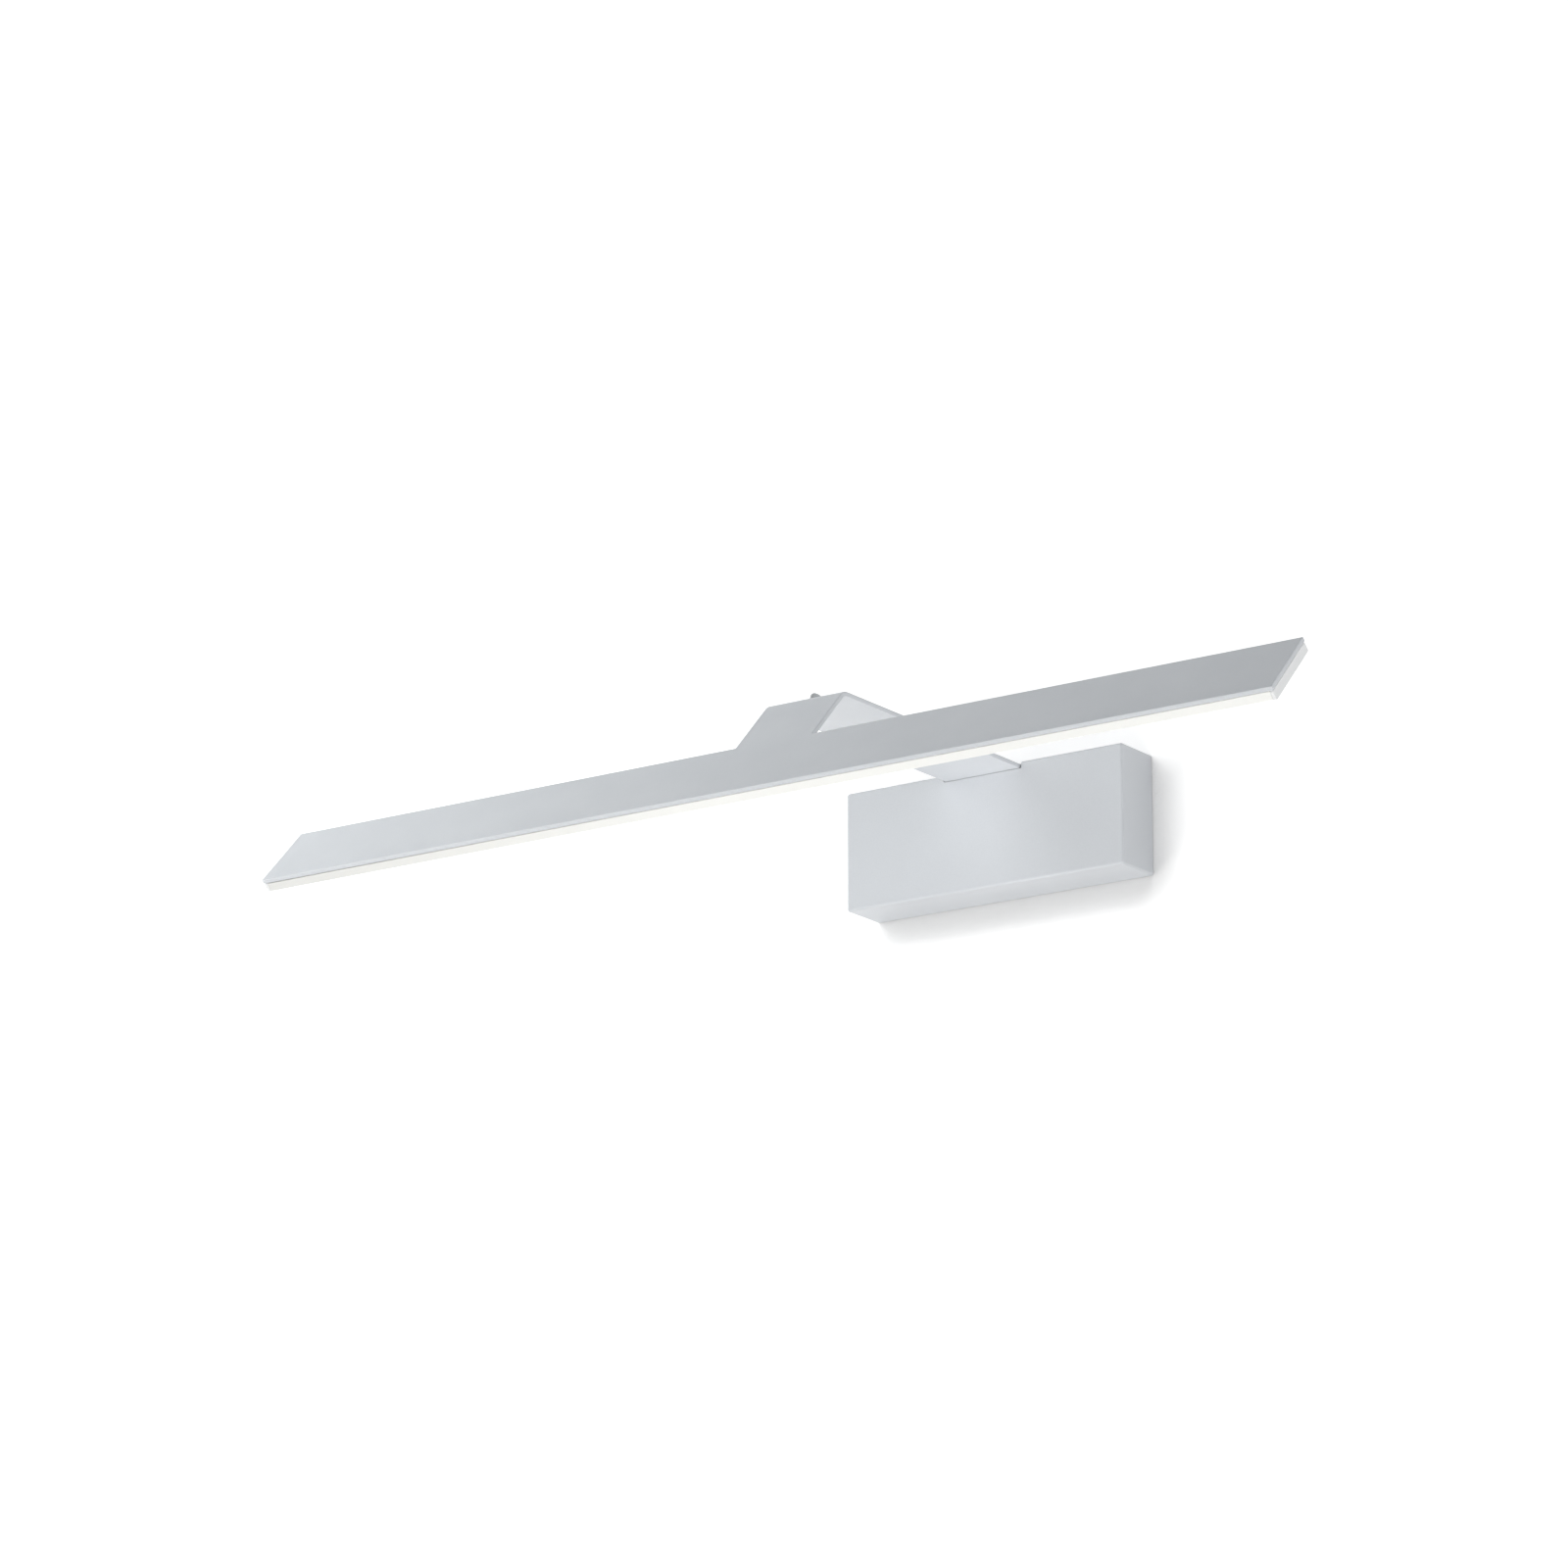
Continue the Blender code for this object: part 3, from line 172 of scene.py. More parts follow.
class Finish(Nodes):
    """A new material with its shader, and the coordinates that its textures use."""

    def __init__(self, name, colour, roughness, metallic=0.0):
        self.material = bpy.data.materials.new(name)
        self.material.use_nodes = True
        super().__init__(self.material.node_tree)
        self.shader = self.tree.nodes["Principled BSDF"]
        self.fill(self.shader, Base_Color=colour, Roughness=roughness, Metallic=metallic)
        self.place = self.add("TexCoord").outputs["Object"]

    def noise(self, scale, detail, stretch=None):
        """Soft random values, with so many lumps to the metre, drawn out along an axis if asked."""
        place = self.place
        if stretch:
            place = self.add("Mapping", Vector=place, Scale=stretch).outputs["Vector"]
        return self.add("TexNoise", Vector=place, Scale=scale, Detail=detail).outputs["Fac"]

    def spread(self, value, low, high):
        """Values of a noise, spread between two numbers."""
        made = self.add("MapRange", Value=value, From_Min=NOISE_LOW, From_Max=NOISE_HIGH)
        self.fill(made, To_Min=low, To_Max=high)
        return made.outputs["Result"]

    def blend(self, value, first, second, start=NOISE_LOW, end=NOISE_HIGH):
        """A colour that goes from the first to the second as a value grows."""
        ramp = self.add("ValToRGB", Fac=value)
        for stop, place, colour in zip(ramp.color_ramp.elements, (start, end), (first, second)):
            stop.position = place
            stop.color = colour
        return ramp.outputs["Color"]

    def bump(self, height, depth, under=None):
        """A bump of that depth in metres, on top of another one if there is one."""
        made = self.add("Bump", Height=height, Distance=depth, Strength=1.0)
        if under:
            self.fill(made, Normal=under)
        return made.outputs["Normal"]

    def distance(self, direction):
        """How far a point lies from the bar's centre along a direction, in lengths of that vector."""
        product = self.add("VectorMath", Vector=self.place)
        product.operation = "DOT_PRODUCT"
        product.inputs[1].default_value = direction
        return self.math("SUBTRACT", product.outputs["Value"], BAR_CENTRE.dot(direction))

    def done(self, **sockets):
        """The material, with the sockets of its shader fed."""
        self.fill(self.shader, **sockets)
        return self.material


print("Helpers for materials are ready")

# %% [markdown]
# The cover, the arm and the bar have one finish: light grey powder paint, baked on. It isn't
# smooth when looked at closely. Its skin has shallow waves like an orange's, about a millimetre
# and a half across, with a finer grain on them, and its shade and gloss drift a little. Noise of
# several sizes makes that. An image could hold it too, but noise has no seams and needs no file.


# %% Powder paint
def powder_paint(name, colour, darker):
    """Baked powder paint with an orange-peel skin and faint clouds."""
    paint = Finish(name, colour, roughness=0.42)
    tint = paint.blend(paint.noise(scale=16, detail=4), darker, colour)
    specks = paint.blend(paint.noise(scale=2600, detail=1), darker, WHITE)
    speckle = paint.add("MixRGB", Fac=0.12, Color1=tint, Color2=specks)
    speckle.blend_type = "MULTIPLY"
    waves = paint.bump(paint.noise(scale=620, detail=1), depth=0.000035)
    return paint.done(
        Base_Color=speckle.outputs["Color"],
        Roughness=paint.spread(paint.noise(scale=60, detail=5), low=0.36, high=0.48),
        Normal=paint.bump(paint.noise(scale=2400, detail=2), depth=0.000012, under=waves),
        Coat_Weight=0.12, Coat_Roughness=0.3,
    )


PAINT = powder_paint("light_grey_powder_paint", tone(214, 217, 221), tone(210, 213, 217))
print("Made", PAINT.name)

# %% [markdown]
# The tray is opal acrylic. It scatters the light of the diodes behind it, so that its whole skin glows.
# Real scattering could be traced through the wall of the tray, but it is slow and leaves grain, so the skin
# has a soft warm light of its own. That light is strongest over the row of diodes and weaker towards the
# long edges and between one diode and the next. It is also turned down towards the left end, so the tray is
# greyer there: that is painted shade.

# %% Opal tray finish
LED_COUNT = 24
STRIP_LENGTH = 0.5844
GLOW = 0.36
GLOW_COLOUR = (1.0, 0.995, 0.965, 1)
EDGE_LOSS = 0.42
RIPPLE = 0.012
CLOUDS = 0.01
PAINTED_SHADE_LEFT_SHARE = 0.2
PAINTED_SHADE_END_X = -0.03


def opal_acrylic():
    """Frosted opal acrylic with the diodes' glow in it."""
    opal = Finish("opal_acrylic", tone(222, 222, 219), roughness=0.35)
    along = opal.add("SeparateXYZ", Vector=opal.place).outputs["X"]
    turn = opal.math("MULTIPLY", along, 2 * pi / (STRIP_LENGTH / LED_COUNT))
    ripple = opal.math("MULTIPLY", opal.math("COSINE", turn, 0), -RIPPLE)
    across = opal.distance(DOWN_SLOPE / (BAR_WIDTH / 2))
    fall = opal.math("MULTIPLY", opal.math("MULTIPLY", across, across), -EDGE_LOSS)
    clouds = opal.spread(opal.noise(scale=30, detail=3), -CLOUDS, CLOUDS)
    total = opal.math("ADD", opal.math("ADD", ripple, fall), clouds)
    # Towards the bar's left end the glow is turned down: painted shade.
    painted_shade_glow = opal.add("MapRange", Value=along, From_Min=-BAR_LENGTH / 2, From_Max=PAINTED_SHADE_END_X)
    opal.fill(painted_shade_glow, To_Min=GLOW * PAINTED_SHADE_LEFT_SHARE, To_Max=GLOW)
    return opal.done(
        Emission_Strength=opal.math("MULTIPLY", opal.math("ADD", total, 1.0), painted_shade_glow.outputs["Result"]),
        Emission_Color=GLOW_COLOUR,
        Roughness=opal.spread(opal.noise(scale=90, detail=3), low=0.3, high=0.42),
        Normal=opal.bump(opal.noise(scale=3000, detail=2), depth=0.000008),
        Subsurface_Weight=0.2, Subsurface_Radius=(0.002, 0.002, 0.0018),
    )


OPAL = opal_acrylic()
print("Made", OPAL.name, "with", LED_COUNT, "diodes behind it")

# %% [markdown]
# The moulded plastics differ in colour, but share one build. A mould is spark-eroded, and that leaves a
# fine even grain on the plastic, with gloss that drifts where the melt flowed. The end caps get a faint
# glow in the tray's colour, a painted light that lifts their shade.

# %% Moulded plastics and rubber
GLOSS_DRIFT = 0.06
WIRE_GRAIN = (2200, 0.00001)


def moulded(name, colour, darker, roughness, grain=1800, depth=0.00002, glow=0.0):
    """Moulded plastic or rubber with a spark-eroded grain."""
    skin = Finish(name, tone(*colour), roughness)
    flow = skin.bump(skin.noise(scale=300, detail=2), depth)
    gloss = skin.noise(scale=130, detail=4)
    return skin.done(
        Base_Color=skin.blend(skin.noise(scale=45, detail=4), tone(*darker), tone(*colour)),
        Roughness=skin.spread(gloss, roughness - GLOSS_DRIFT, roughness + GLOSS_DRIFT),
        Normal=skin.bump(skin.noise(grain, detail=3), depth, under=flow),
        Emission_Color=GLOW_COLOUR, Emission_Strength=glow,
    )


# The caps' faint glow is painted light that lifts their shade.
CAP_PLASTIC = moulded("cap_plastic", (218, 219, 220), (212, 213, 214), 0.45, glow=0.15)
CLIP_PLASTIC = moulded("clip_plastic", (216, 218, 220), (208, 210, 212), 0.42)
CASE_PLASTIC = moulded("driver_case_plastic", (228, 227, 222), (220, 219, 213), 0.5)
BLOCK_PLASTIC = moulded("terminal_plastic", (232, 229, 216), (222, 218, 203), 0.4)
RUBBER = moulded("black_rubber", (44, 44, 45), (30, 30, 31), 0.68, 900, 0.00004)
FOAM = moulded("grey_foam_pad", (120, 121, 122), (92, 93, 94), 0.9, 1500, 0.00006)
LEAD_SKIN = moulded("light_lead_skin", (208, 210, 212), (196, 198, 200), 0.45, *WIRE_GRAIN)
BROWN_SKIN = moulded("brown_wire_skin", (112, 74, 48), (94, 60, 38), 0.38, *WIRE_GRAIN)
BLUE_SKIN = moulded("blue_wire_skin", (44, 96, 168), (34, 80, 146), 0.38, *WIRE_GRAIN)
GREEN_SKIN = moulded("green_wire_skin", (56, 138, 66), (44, 118, 54), 0.38, *WIRE_GRAIN)
YELLOW_SKIN = moulded("yellow_wire_skin", (226, 202, 58), (206, 182, 46), 0.38, *WIRE_GRAIN)
print("Made the plastics, the rubber and the wire skins")

# %% [markdown]
# Bare metal shows how it was worked. Plate comes off the roll with long fine lines, so its noise is
# drawn out along one axis, and zinc plating adds faint clouds of blue and straw. One function
# makes them all, from a colour, a cloud colour and the way that the lines run.

# %% Bare metals
GLOSS_LESS = 0.07
GLOSS_MORE = 0.09


def bare_metal(name, colour, cloud, roughness, stretch):
    """Worked metal: fine lines drawn out along one axis, and clouds of another shade."""
    metal = Finish(name, tone(*colour), roughness, metallic=1.0)
    lines = metal.noise(scale=900, detail=3, stretch=stretch)
    return metal.done(
        Base_Color=metal.blend(metal.noise(scale=70, detail=5), tone(*cloud), tone(*colour)),
        Roughness=metal.spread(lines, roughness - GLOSS_LESS, roughness + GLOSS_MORE),
        Normal=metal.bump(lines, depth=0.000006),
    )


ZINC = bare_metal("zinc_plated_steel", (196, 198, 200), (184, 189, 196), 0.36, (0.03, 1, 1))
NUT_ZINC = bare_metal("zinc_plated_nut", (192, 194, 195), (178, 182, 190), 0.34, (1, 1, 1))
STEEL = bare_metal("bright_steel", (204, 205, 206), (188, 189, 191), 0.28, (1, 1, 0.1))
ALUMINIUM = bare_metal("drawn_aluminium", (214, 215, 216), (204, 205, 208), 0.34, (0.01, 1, 1))
BRASS = bare_metal("brass", (206, 176, 106), (184, 150, 84), 0.33, (1, 0.2, 1))
print("Made the bare metals")

# %% [markdown]
# The circuit board is white so that it sends the diodes' light forward. Each diode is a small white
# package with a yellow phosphor window. The board and its diodes are one solid in the frame, so the
# material finds the diodes by their height below the board's face and paints the windows there.

# %% Board finish
BOARD_STACK = 0.0021
DIODE_HEIGHT = 0.0007
WINDOW_SHARE = 0.9
BOARD_WHITE = tone(236, 236, 230)
PHOSPHOR = tone(240, 214, 96)


def lit_board():
    """White solder resist, with the phosphor windows of the diodes below its face."""
    board = Finish("white_board", BOARD_WHITE, roughness=0.4)
    level = -(SHEET + SEAT + BOARD_STACK) - DIODE_HEIGHT * WINDOW_SHARE
    window = board.math("LESS_THAN", board.distance(OUTWARD), level)
    return board.done(
        Base_Color=board.blend(window, BOARD_WHITE, PHOSPHOR, start=0.4, end=0.6),
        Roughness=board.spread(board.noise(scale=400, detail=3), low=0.34, high=0.5),
        Normal=board.bump(board.noise(scale=1500, detail=2), depth=0.00001),
    )


BOARD = lit_board()
print("Made", BOARD.name)

# %% [markdown]
# Most shapes start as an outline or a simple solid, and Blender's modifiers round, thicken and cut
# them. These helpers make the outlines and solids, and apply what the modifiers do, so that a
# finished mesh is left. Round stretches get many points here, because they are seen up close.

# %% Helpers for shapes
ARC_STEPS = 12
ROUND_SIDES = 48
OVERRUN = 0.002
WELD = 0.000002
SLOT_SHAVE = 0.00002
EASED_ANGLE = radians(60)
SMOOTH_ANGLE = radians(32)
ALONG_X = Matrix(((0, 0, 1), (1, 0, 0), (0, 1, 0))).to_4x4()
ALONG_Y = Matrix.Rotation(pi / 2, 4, "X")
TO_FRONT = Matrix.Rotation(pi / 2, 4, "X")
SIDES = (("left", -1), ("right", 1))


def mesh_of(modelled):
    """The finished mesh of a bmesh."""
    mesh = bpy.data.meshes.new("shape")
    modelled.to_mesh(mesh)
    modelled.free()
    return mesh


def shape(mesh):
    """A nameless object that lends its shape to a piece."""
    made = bpy.data.objects.new("shape", mesh)
    bpy.context.scene.collection.objects.link(made)
    return made


def applied(thing):
    """The mesh that an object's modifiers leave, with the object itself removed."""
    bpy.context.view_layer.update()
    graph = bpy.context.evaluated_depsgraph_get()
    mesh = bpy.data.meshes.new_from_object(thing.evaluated_get(graph))
    mesh.transform(thing.matrix_world)
    bpy.data.objects.remove(thing, do_unlink=True)
    return mesh


def combined(mesh, operation, others):
    """The mesh with others cut from it, joined to it or met with it."""
    thing = shape(mesh)
    tools = [shape(other) for other in others]
    for tool in tools:
        boolean = thing.modifiers.new("boolean", "BOOLEAN")
        boolean.operation = operation
        boolean.solver = "EXACT"
        boolean.object = tool
    made = applied(thing)
    for tool in tools:
        bpy.data.objects.remove(tool, do_unlink=True)
    return made


def eased(mesh, width, segments=2):
    """The mesh with its sharp edges broken by a small bevel."""
    thing = shape(mesh)
    bevel = thing.modifiers.new("edges", "BEVEL")
    bevel.width = width
    bevel.segments = segments
    bevel.limit_method = "ANGLE"
    bevel.angle_limit = EASED_ANGLE
    return applied(thing)


def thickened(mesh, thickness):
    """An open sheet, thickened to its inner side."""
    thing = shape(mesh)
    solid = thing.modifiers.new("sheet", "SOLIDIFY")
    solid.thickness = thickness
    solid.offset = -1
    solid.use_even_offset = True
    return applied(thing)


def box(low, high):
    """A box between two corners."""
    low, high = Vector(low), Vector(high)
    modelled = bmesh.new()
    bmesh.ops.create_cube(modelled, size=1)
    bmesh.ops.scale(modelled, vec=high - low, verts=modelled.verts)
    bmesh.ops.translate(modelled, vec=(low + high) / 2, verts=modelled.verts)
    return mesh_of(modelled)


def rod(radius, start, end, end_radius=None):
    """A round rod or cone between two points."""
    start, end = Vector(start), Vector(end)
    along = end - start
    modelled = bmesh.new()
    bmesh.ops.create_cone(
        modelled, cap_ends=True, segments=ROUND_SIDES, radius1=radius,
        radius2=radius if end_radius is None else end_radius, depth=along.length,
    )
    turn = Vector((0, 0, 1)).rotation_difference(along).to_matrix().to_4x4()
    modelled.transform(Matrix.Translation((start + end) / 2) @ turn)
    return mesh_of(modelled)


def arc(centre, radius, start, end, steps=ARC_STEPS):
    """Points along an arc, from one angle to another."""
    turns = [start + (end - start) * step / steps for step in range(steps + 1)]
    return [(centre[0] + radius * cos(turn), centre[1] + radius * sin(turn)) for turn in turns]


def circle(centre, radius):
    """The outline of a round hole."""
    return arc(centre, radius, 0, 2 * pi, ROUND_SIDES)[:-1]


def round_rectangle(centre, width, height, radius):
    """The outline of a rectangle with round corners."""
    across, up = width / 2 - radius, height / 2 - radius
    points = []
    for x, y, start in ((across, up, 0), (-across, up, 1), (-across, -up, 2), (across, -up, 3)):
        points += arc((centre[0] + x, centre[1] + y), radius, start * pi / 2, (start + 1) * pi / 2)
    return points


def flat(outlines, thickness, turn, level=0.0):
    """A flat outline with holes, its thickness centred on a level."""
    curve = bpy.data.curves.new("outline", "CURVE")
    curve.dimensions = "2D"
    curve.fill_mode = "BOTH"
    curve.extrude = thickness / 2
    for points in outlines:
        spline = curve.splines.new("POLY")
        spline.points.add(len(points) - 1)
        spline.use_cyclic_u = True
        for point, (x, y) in zip(spline.points, points):
            point.co = (x, y, 0, 1)
    thing = shape(curve)
    thing.matrix_world = turn @ Matrix.Translation((0, 0, level))
    return welded(applied(thing))


def welded(mesh):
    """The mesh with its doubled points merged and its faces turned outward."""
    modelled = bmesh.new()
    modelled.from_mesh(mesh)
    bmesh.ops.remove_doubles(modelled, verts=modelled.verts, dist=WELD)
    bmesh.ops.recalc_face_normals(modelled, faces=modelled.faces)
    modelled.to_mesh(mesh)
    modelled.free()
    return mesh


def drawn(points):
    """A bmesh with a line through points, and the edges of the line."""
    modelled = bmesh.new()
    verts = [modelled.verts.new(point) for point in points]
    return modelled, [modelled.edges.new(pair) for pair in zip(verts, verts[1:])]


def pulled(modelled, edges, vector):
    """Extrude edges by a vector."""
    grown = bmesh.ops.extrude_edge_only(modelled, edges=edges)["geom"]
    moved = [thing for thing in grown if isinstance(thing, bmesh.types.BMVert)]
    bmesh.ops.translate(modelled, vec=vector, verts=moved)


def turned(profile, place=(0, 0, 0), turn=UPRIGHT):
    """A profile of radii and heights, turned about its axis and set in place."""
    modelled, edges = drawn([(x, 0, z) for x, z in profile])
    bmesh.ops.spin(
        modelled, geom=modelled.verts[:] + edges, axis=(0, 0, 1), cent=(0, 0, 0),
        angle=2 * pi, steps=ROUND_SIDES, use_merge=False,
    )
    mesh = welded(mesh_of(modelled))
    mesh.transform(Matrix.Translation(place) @ turn)
    return mesh


def piece(name, mesh, slot, materials, *nodes, body="light", place=(0, 0, 0), turn=UPRIGHT):
    """A finished piece: set in place, shaded, given its material, and tied to the frame."""
    mesh.transform(Matrix.Translation(place) @ turn)
    mesh.name = name
    made = shape(mesh)
    made.name = name
    mesh.materials.clear()
    for material in materials if isinstance(materials, list) else [materials]:
        mesh.materials.append(material)
    mesh.shade_smooth()
    mesh.set_sharp_from_angle(angle=SMOOTH_ANGLE)
    normals = made.modifiers.new("normals", "WEIGHTED_NORMAL")
    normals.keep_sharp = True
    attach(made, body)
    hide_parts(*nodes)
    print("Made", name, "with", len(mesh.polygons), "faces")


print("Helpers for shapes are ready")

# %% [markdown]
# The flange, the arm, the sloping part and the bar are one sheet of steel, cut as a T and folded
# twice. It could be built from boxes, but then the folds would show as joints. Instead its side
# view is drawn as a line with an arc at each fold, the line is pulled sideways to the arm's width,
# and the edges of the lowest stretch are pulled out to the bar's length. Solidify gives the sheet
# its thickness, and a small bevel breaks the edges, as the paint does on the real one.

# %% Folded arm and bar
EDGE_BREAK = 0.00055
STUD_RADIUS = 0.0020
STUD_X = 0.014
STUD_Z = 0.0165
LEAD_Y = -0.0165
BUSH_HOLE_RADIUS = 0.0032
FOLD_SLOT_LENGTH = 0.0090
FOLD_SLOT_WIDTH = 0.0038
FOLD_SLOT_BACK = 0.0068


def sheet_line():
    """Side view of the sheet's outer face, from the flange's foot to the bar's lower edge."""
    heel_outer = BEND_RADIUS + SHEET
    heel = (arm_high.y - heel_outer, ARM_TOP - heel_outer)
    knee_outer = FOLD_RADIUS + SHEET
    knee = (FOLD.y + knee_outer * tan(BAR_TILT / 2), ARM_TOP - knee_outer)
    line = [(arm_high.y, ARM_TOP - FLANGE_HEIGHT)]
    line += arc(heel, heel_outer, 0, pi / 2)
    line += arc(knee, knee_outer, pi / 2, pi / 2 + BAR_TILT)
    for distance in (ARM_SLOPE, ARM_SLOPE + BAR_WIDTH):
        place = FOLD + DOWN_SLOPE * distance
        line.append((place.y, place.z))
    return line


def folded_sheet():
    """The sheet with its two folds, its wide bar and its holes."""
    line = sheet_line()
    modelled, edges = drawn([(-ARM_WIDTH / 2, y, z) for y, z in line])
    foot = line[-1][1]
    pulled(modelled, edges, (ARM_WIDTH, 0, 0))
    wing = (BAR_LENGTH - ARM_WIDTH) / 2
    for edge in list(modelled.edges):
        start, end = (vert.co.copy() for vert in edge.verts)
        if min(start.z, end.z) <= foot + SEAT and start.x == end.x:
            pulled(modelled, [edge], (wing if start.x > 0 else -wing, 0, 0))
    bmesh.ops.recalc_face_normals(modelled, faces=modelled.faces)
    sheet = eased(thickened(mesh_of(modelled), SHEET), EDGE_BREAK)
    cutters = []
    for x in (-STUD_X, STUD_X):
        back = (x, arm_high.y + OVERRUN, STUD_Z)
        front = (x, arm_high.y - SHEET - OVERRUN, STUD_Z)
        cutters.append(rod(STUD_RADIUS + SEAT, back, front))
    low = (0, LEAD_Y, ARM_UNDER - OVERRUN)
    cutters.append(rod(BUSH_HOLE_RADIUS, low, (0, LEAD_Y, ARM_TOP + OVERRUN)))
    place = (0, FOLD.y + FOLD_SLOT_BACK)
    slot = round_rectangle(place, FOLD_SLOT_WIDTH, FOLD_SLOT_LENGTH, FOLD_SLOT_WIDTH / 2 - SLOT_SHAVE)
    cutters.append(flat([slot], SHEET + 2 * OVERRUN, UPRIGHT, ARM_TOP - SHEET / 2))
    return combined(sheet, "DIFFERENCE", cutters)


piece("painted_sheet", folded_sheet(), "paint", PAINT, "folded_arm")

# %% [markdown]
# The canopy cover is a shallow tray of thin steel, open towards the wall, with a notch in its top
# where the arm comes out. Six faces of a cube lose one, the bevel rounds the pressed edges, and
# Solidify gives the wall. Rounding before thickening keeps the wall even round the corners.

# %% Canopy cover
COVER_WALL = 0.0010
COVER_ROUND = 0.0013
NOTCH_SIDE = 0.0010
NOTCH_UNDER = 0.00022
NOTCH_ROUND = 0.0006
COVER_SCREW_X = 0.050
COVER_SCREW_Y = -0.0080
COVER_SCREW_RADIUS = 0.0015


def canopy():
    """The cover with round edges, its notch and its two screw holes."""
    modelled = bmesh.new()
    modelled.from_mesh(box(cover_low, cover_high))
    back = [face for face in modelled.faces if round(face.normal.y) == 1]
    bmesh.ops.delete(modelled, geom=back, context="FACES_ONLY")
    shell = thickened(eased(mesh_of(modelled), COVER_ROUND, segments=6), COVER_WALL)
    foot = ARM_UNDER - NOTCH_UNDER
    height = 2 * (TOP + OVERRUN - foot)
    notch = round_rectangle((0, foot + height / 2), ARM_WIDTH + 2 * NOTCH_SIDE, height, NOTCH_ROUND)
    depth = cover_high.y - cover_low.y + 2 * OVERRUN
    cutters = [flat([notch], depth, ALONG_Y, -(cover_high.y + cover_low.y) / 2)]
    for x in (-COVER_SCREW_X, COVER_SCREW_X):
        foot = (x, COVER_SCREW_Y, TOP - COVER_WALL - OVERRUN)
        cutters.append(rod(COVER_SCREW_RADIUS + SEAT, foot, (x, COVER_SCREW_Y, TOP + OVERRUN)))
    return combined(shell, "DIFFERENCE", cutters)


piece("painted_cover", canopy(), "paint", PAINT, "cover", body="cover")

# %% [markdown]
# The opal tray is one extrusion: a shallow channel with rounded outer corners, and small beads
# inside that snap over the carrier. It is drawn as one outline and pulled to length in the bar's
# own frame, where X runs along the bar, Y up the slope and Z out of the face. A notch in its upper
# edge lets the lead in. The end caps are thin moulded lids with a plug that sits inside the tray.
# The sheet runs out over them, as the photo shows, so a lid is only as deep as the tray.

# %% Opal tray and end caps
TRAY_TOP = -(SHEET + SEAT)
TRAY_HALF = BAR_WIDTH / 2 - SEAT
TRAY_WALL = 0.0012
TRAY_INSIDE = TRAY_HALF - TRAY_WALL
TRAY_ROUND = 0.0009
TRAY_INNER_ROUND = 0.0003
CARRIER = 0.0010
BEAD_REACH = 0.0005
BEAD_HEIGHT = 0.0008
CAP = 0.0016
CAP_ROUND = 0.00084
CAP_EDGE = 0.0003
CAP_PLUG = 0.0045
PLUG_HEIGHT = 0.0016
LEAD_RADIUS = 0.0013
LEAD_DEPTH = SHEET + 2 * SEAT + LEAD_RADIUS


def opal_channel():
    """The tray's channel, in the bar's frame."""
    bead_top = TRAY_TOP - CARRIER - SEAT
    bead_foot = bead_top - BEAD_HEIGHT
    corner = (TRAY_HALF - TRAY_ROUND, TRAY_ROUND - BAR_DEPTH)
    hollow = (TRAY_INSIDE - TRAY_INNER_ROUND, TRAY_WALL + TRAY_INNER_ROUND - BAR_DEPTH)
    outer = [(TRAY_HALF, TRAY_TOP)] + arc(corner, TRAY_ROUND, 0, -pi / 2)
    inner = arc(hollow, TRAY_INNER_ROUND, -pi / 2, 0)
    inner += [(TRAY_INSIDE, bead_foot), (TRAY_INSIDE - BEAD_REACH, (bead_foot + bead_top) / 2)]
    inner += [(TRAY_INSIDE, bead_top), (TRAY_INSIDE, TRAY_TOP)]
    outline = outer + [(-y, z) for y, z in reversed(outer)]
    outline += [(-y, z) for y, z in reversed(inner)] + inner
    reach = LEAD_RADIUS + 2 * SEAT
    low = (-reach, TRAY_INSIDE - BEAD_REACH - SEAT, -(LEAD_DEPTH + reach))
    notch = box(low, (reach, TRAY_HALF + OVERRUN, TRAY_TOP + SEAT))
    return combined(flat([outline], TRAY_LENGTH, ALONG_X), "DIFFERENCE", [notch])


def end_cap(side):
    """A cap with its plug, in the bar's frame, at the left end or the right one."""
    centre = (0, (TRAY_TOP - BAR_DEPTH) / 2)
    outline = round_rectangle(centre, 2 * TRAY_HALF, BAR_DEPTH + TRAY_TOP, CAP_ROUND)
    lid = eased(flat([outline], CAP, ALONG_X, CAP / 2), CAP_EDGE, segments=3)
    half = TRAY_INSIDE - BEAD_REACH - SEAT
    top = TRAY_TOP - SEAT
    plug = box((-CAP_PLUG - SEAT, -half, top - PLUG_HEIGHT), (CAP / 2, half, top))
    mesh = combined(lid, "UNION", [plug])
    turn = UPRIGHT if side > 0 else Matrix.Rotation(pi, 4, "Z")
    mesh.transform(Matrix.Translation((side * (TRAY_LENGTH / 2 + SEAT), 0, 0)) @ turn)
    return mesh


piece("opal_tray", opal_channel(), "opal", OPAL, "diffuser", turn=BAR_FRAME)
for word, side in SIDES:
    piece("bar_cap_" + word, end_cap(side), "cap_plastic", CAP_PLASTIC, "end_cap_" + word, turn=BAR_FRAME)

# %% [markdown]
# The carrier and the circuit board lie inside the tray, and their flat shapes in the frame are
# right as they are. They keep their solids and only get a better finish in their material slots.

# %% Carrier and board
for name, material in (("led_carrier", ALUMINIUM), ("led_board", BOARD)):
    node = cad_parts[name]
    node.data.materials[0] = material
    print("Refinished", name)

# %% [markdown]
# A screw is turned, so it is drawn as half of its side view and spun about its axis. The thread is
# a row of small rings, which can't be told from a true helix at half a millimetre's pitch. The
# cross in the head is cut by two tapered blades, as the punch makes it.

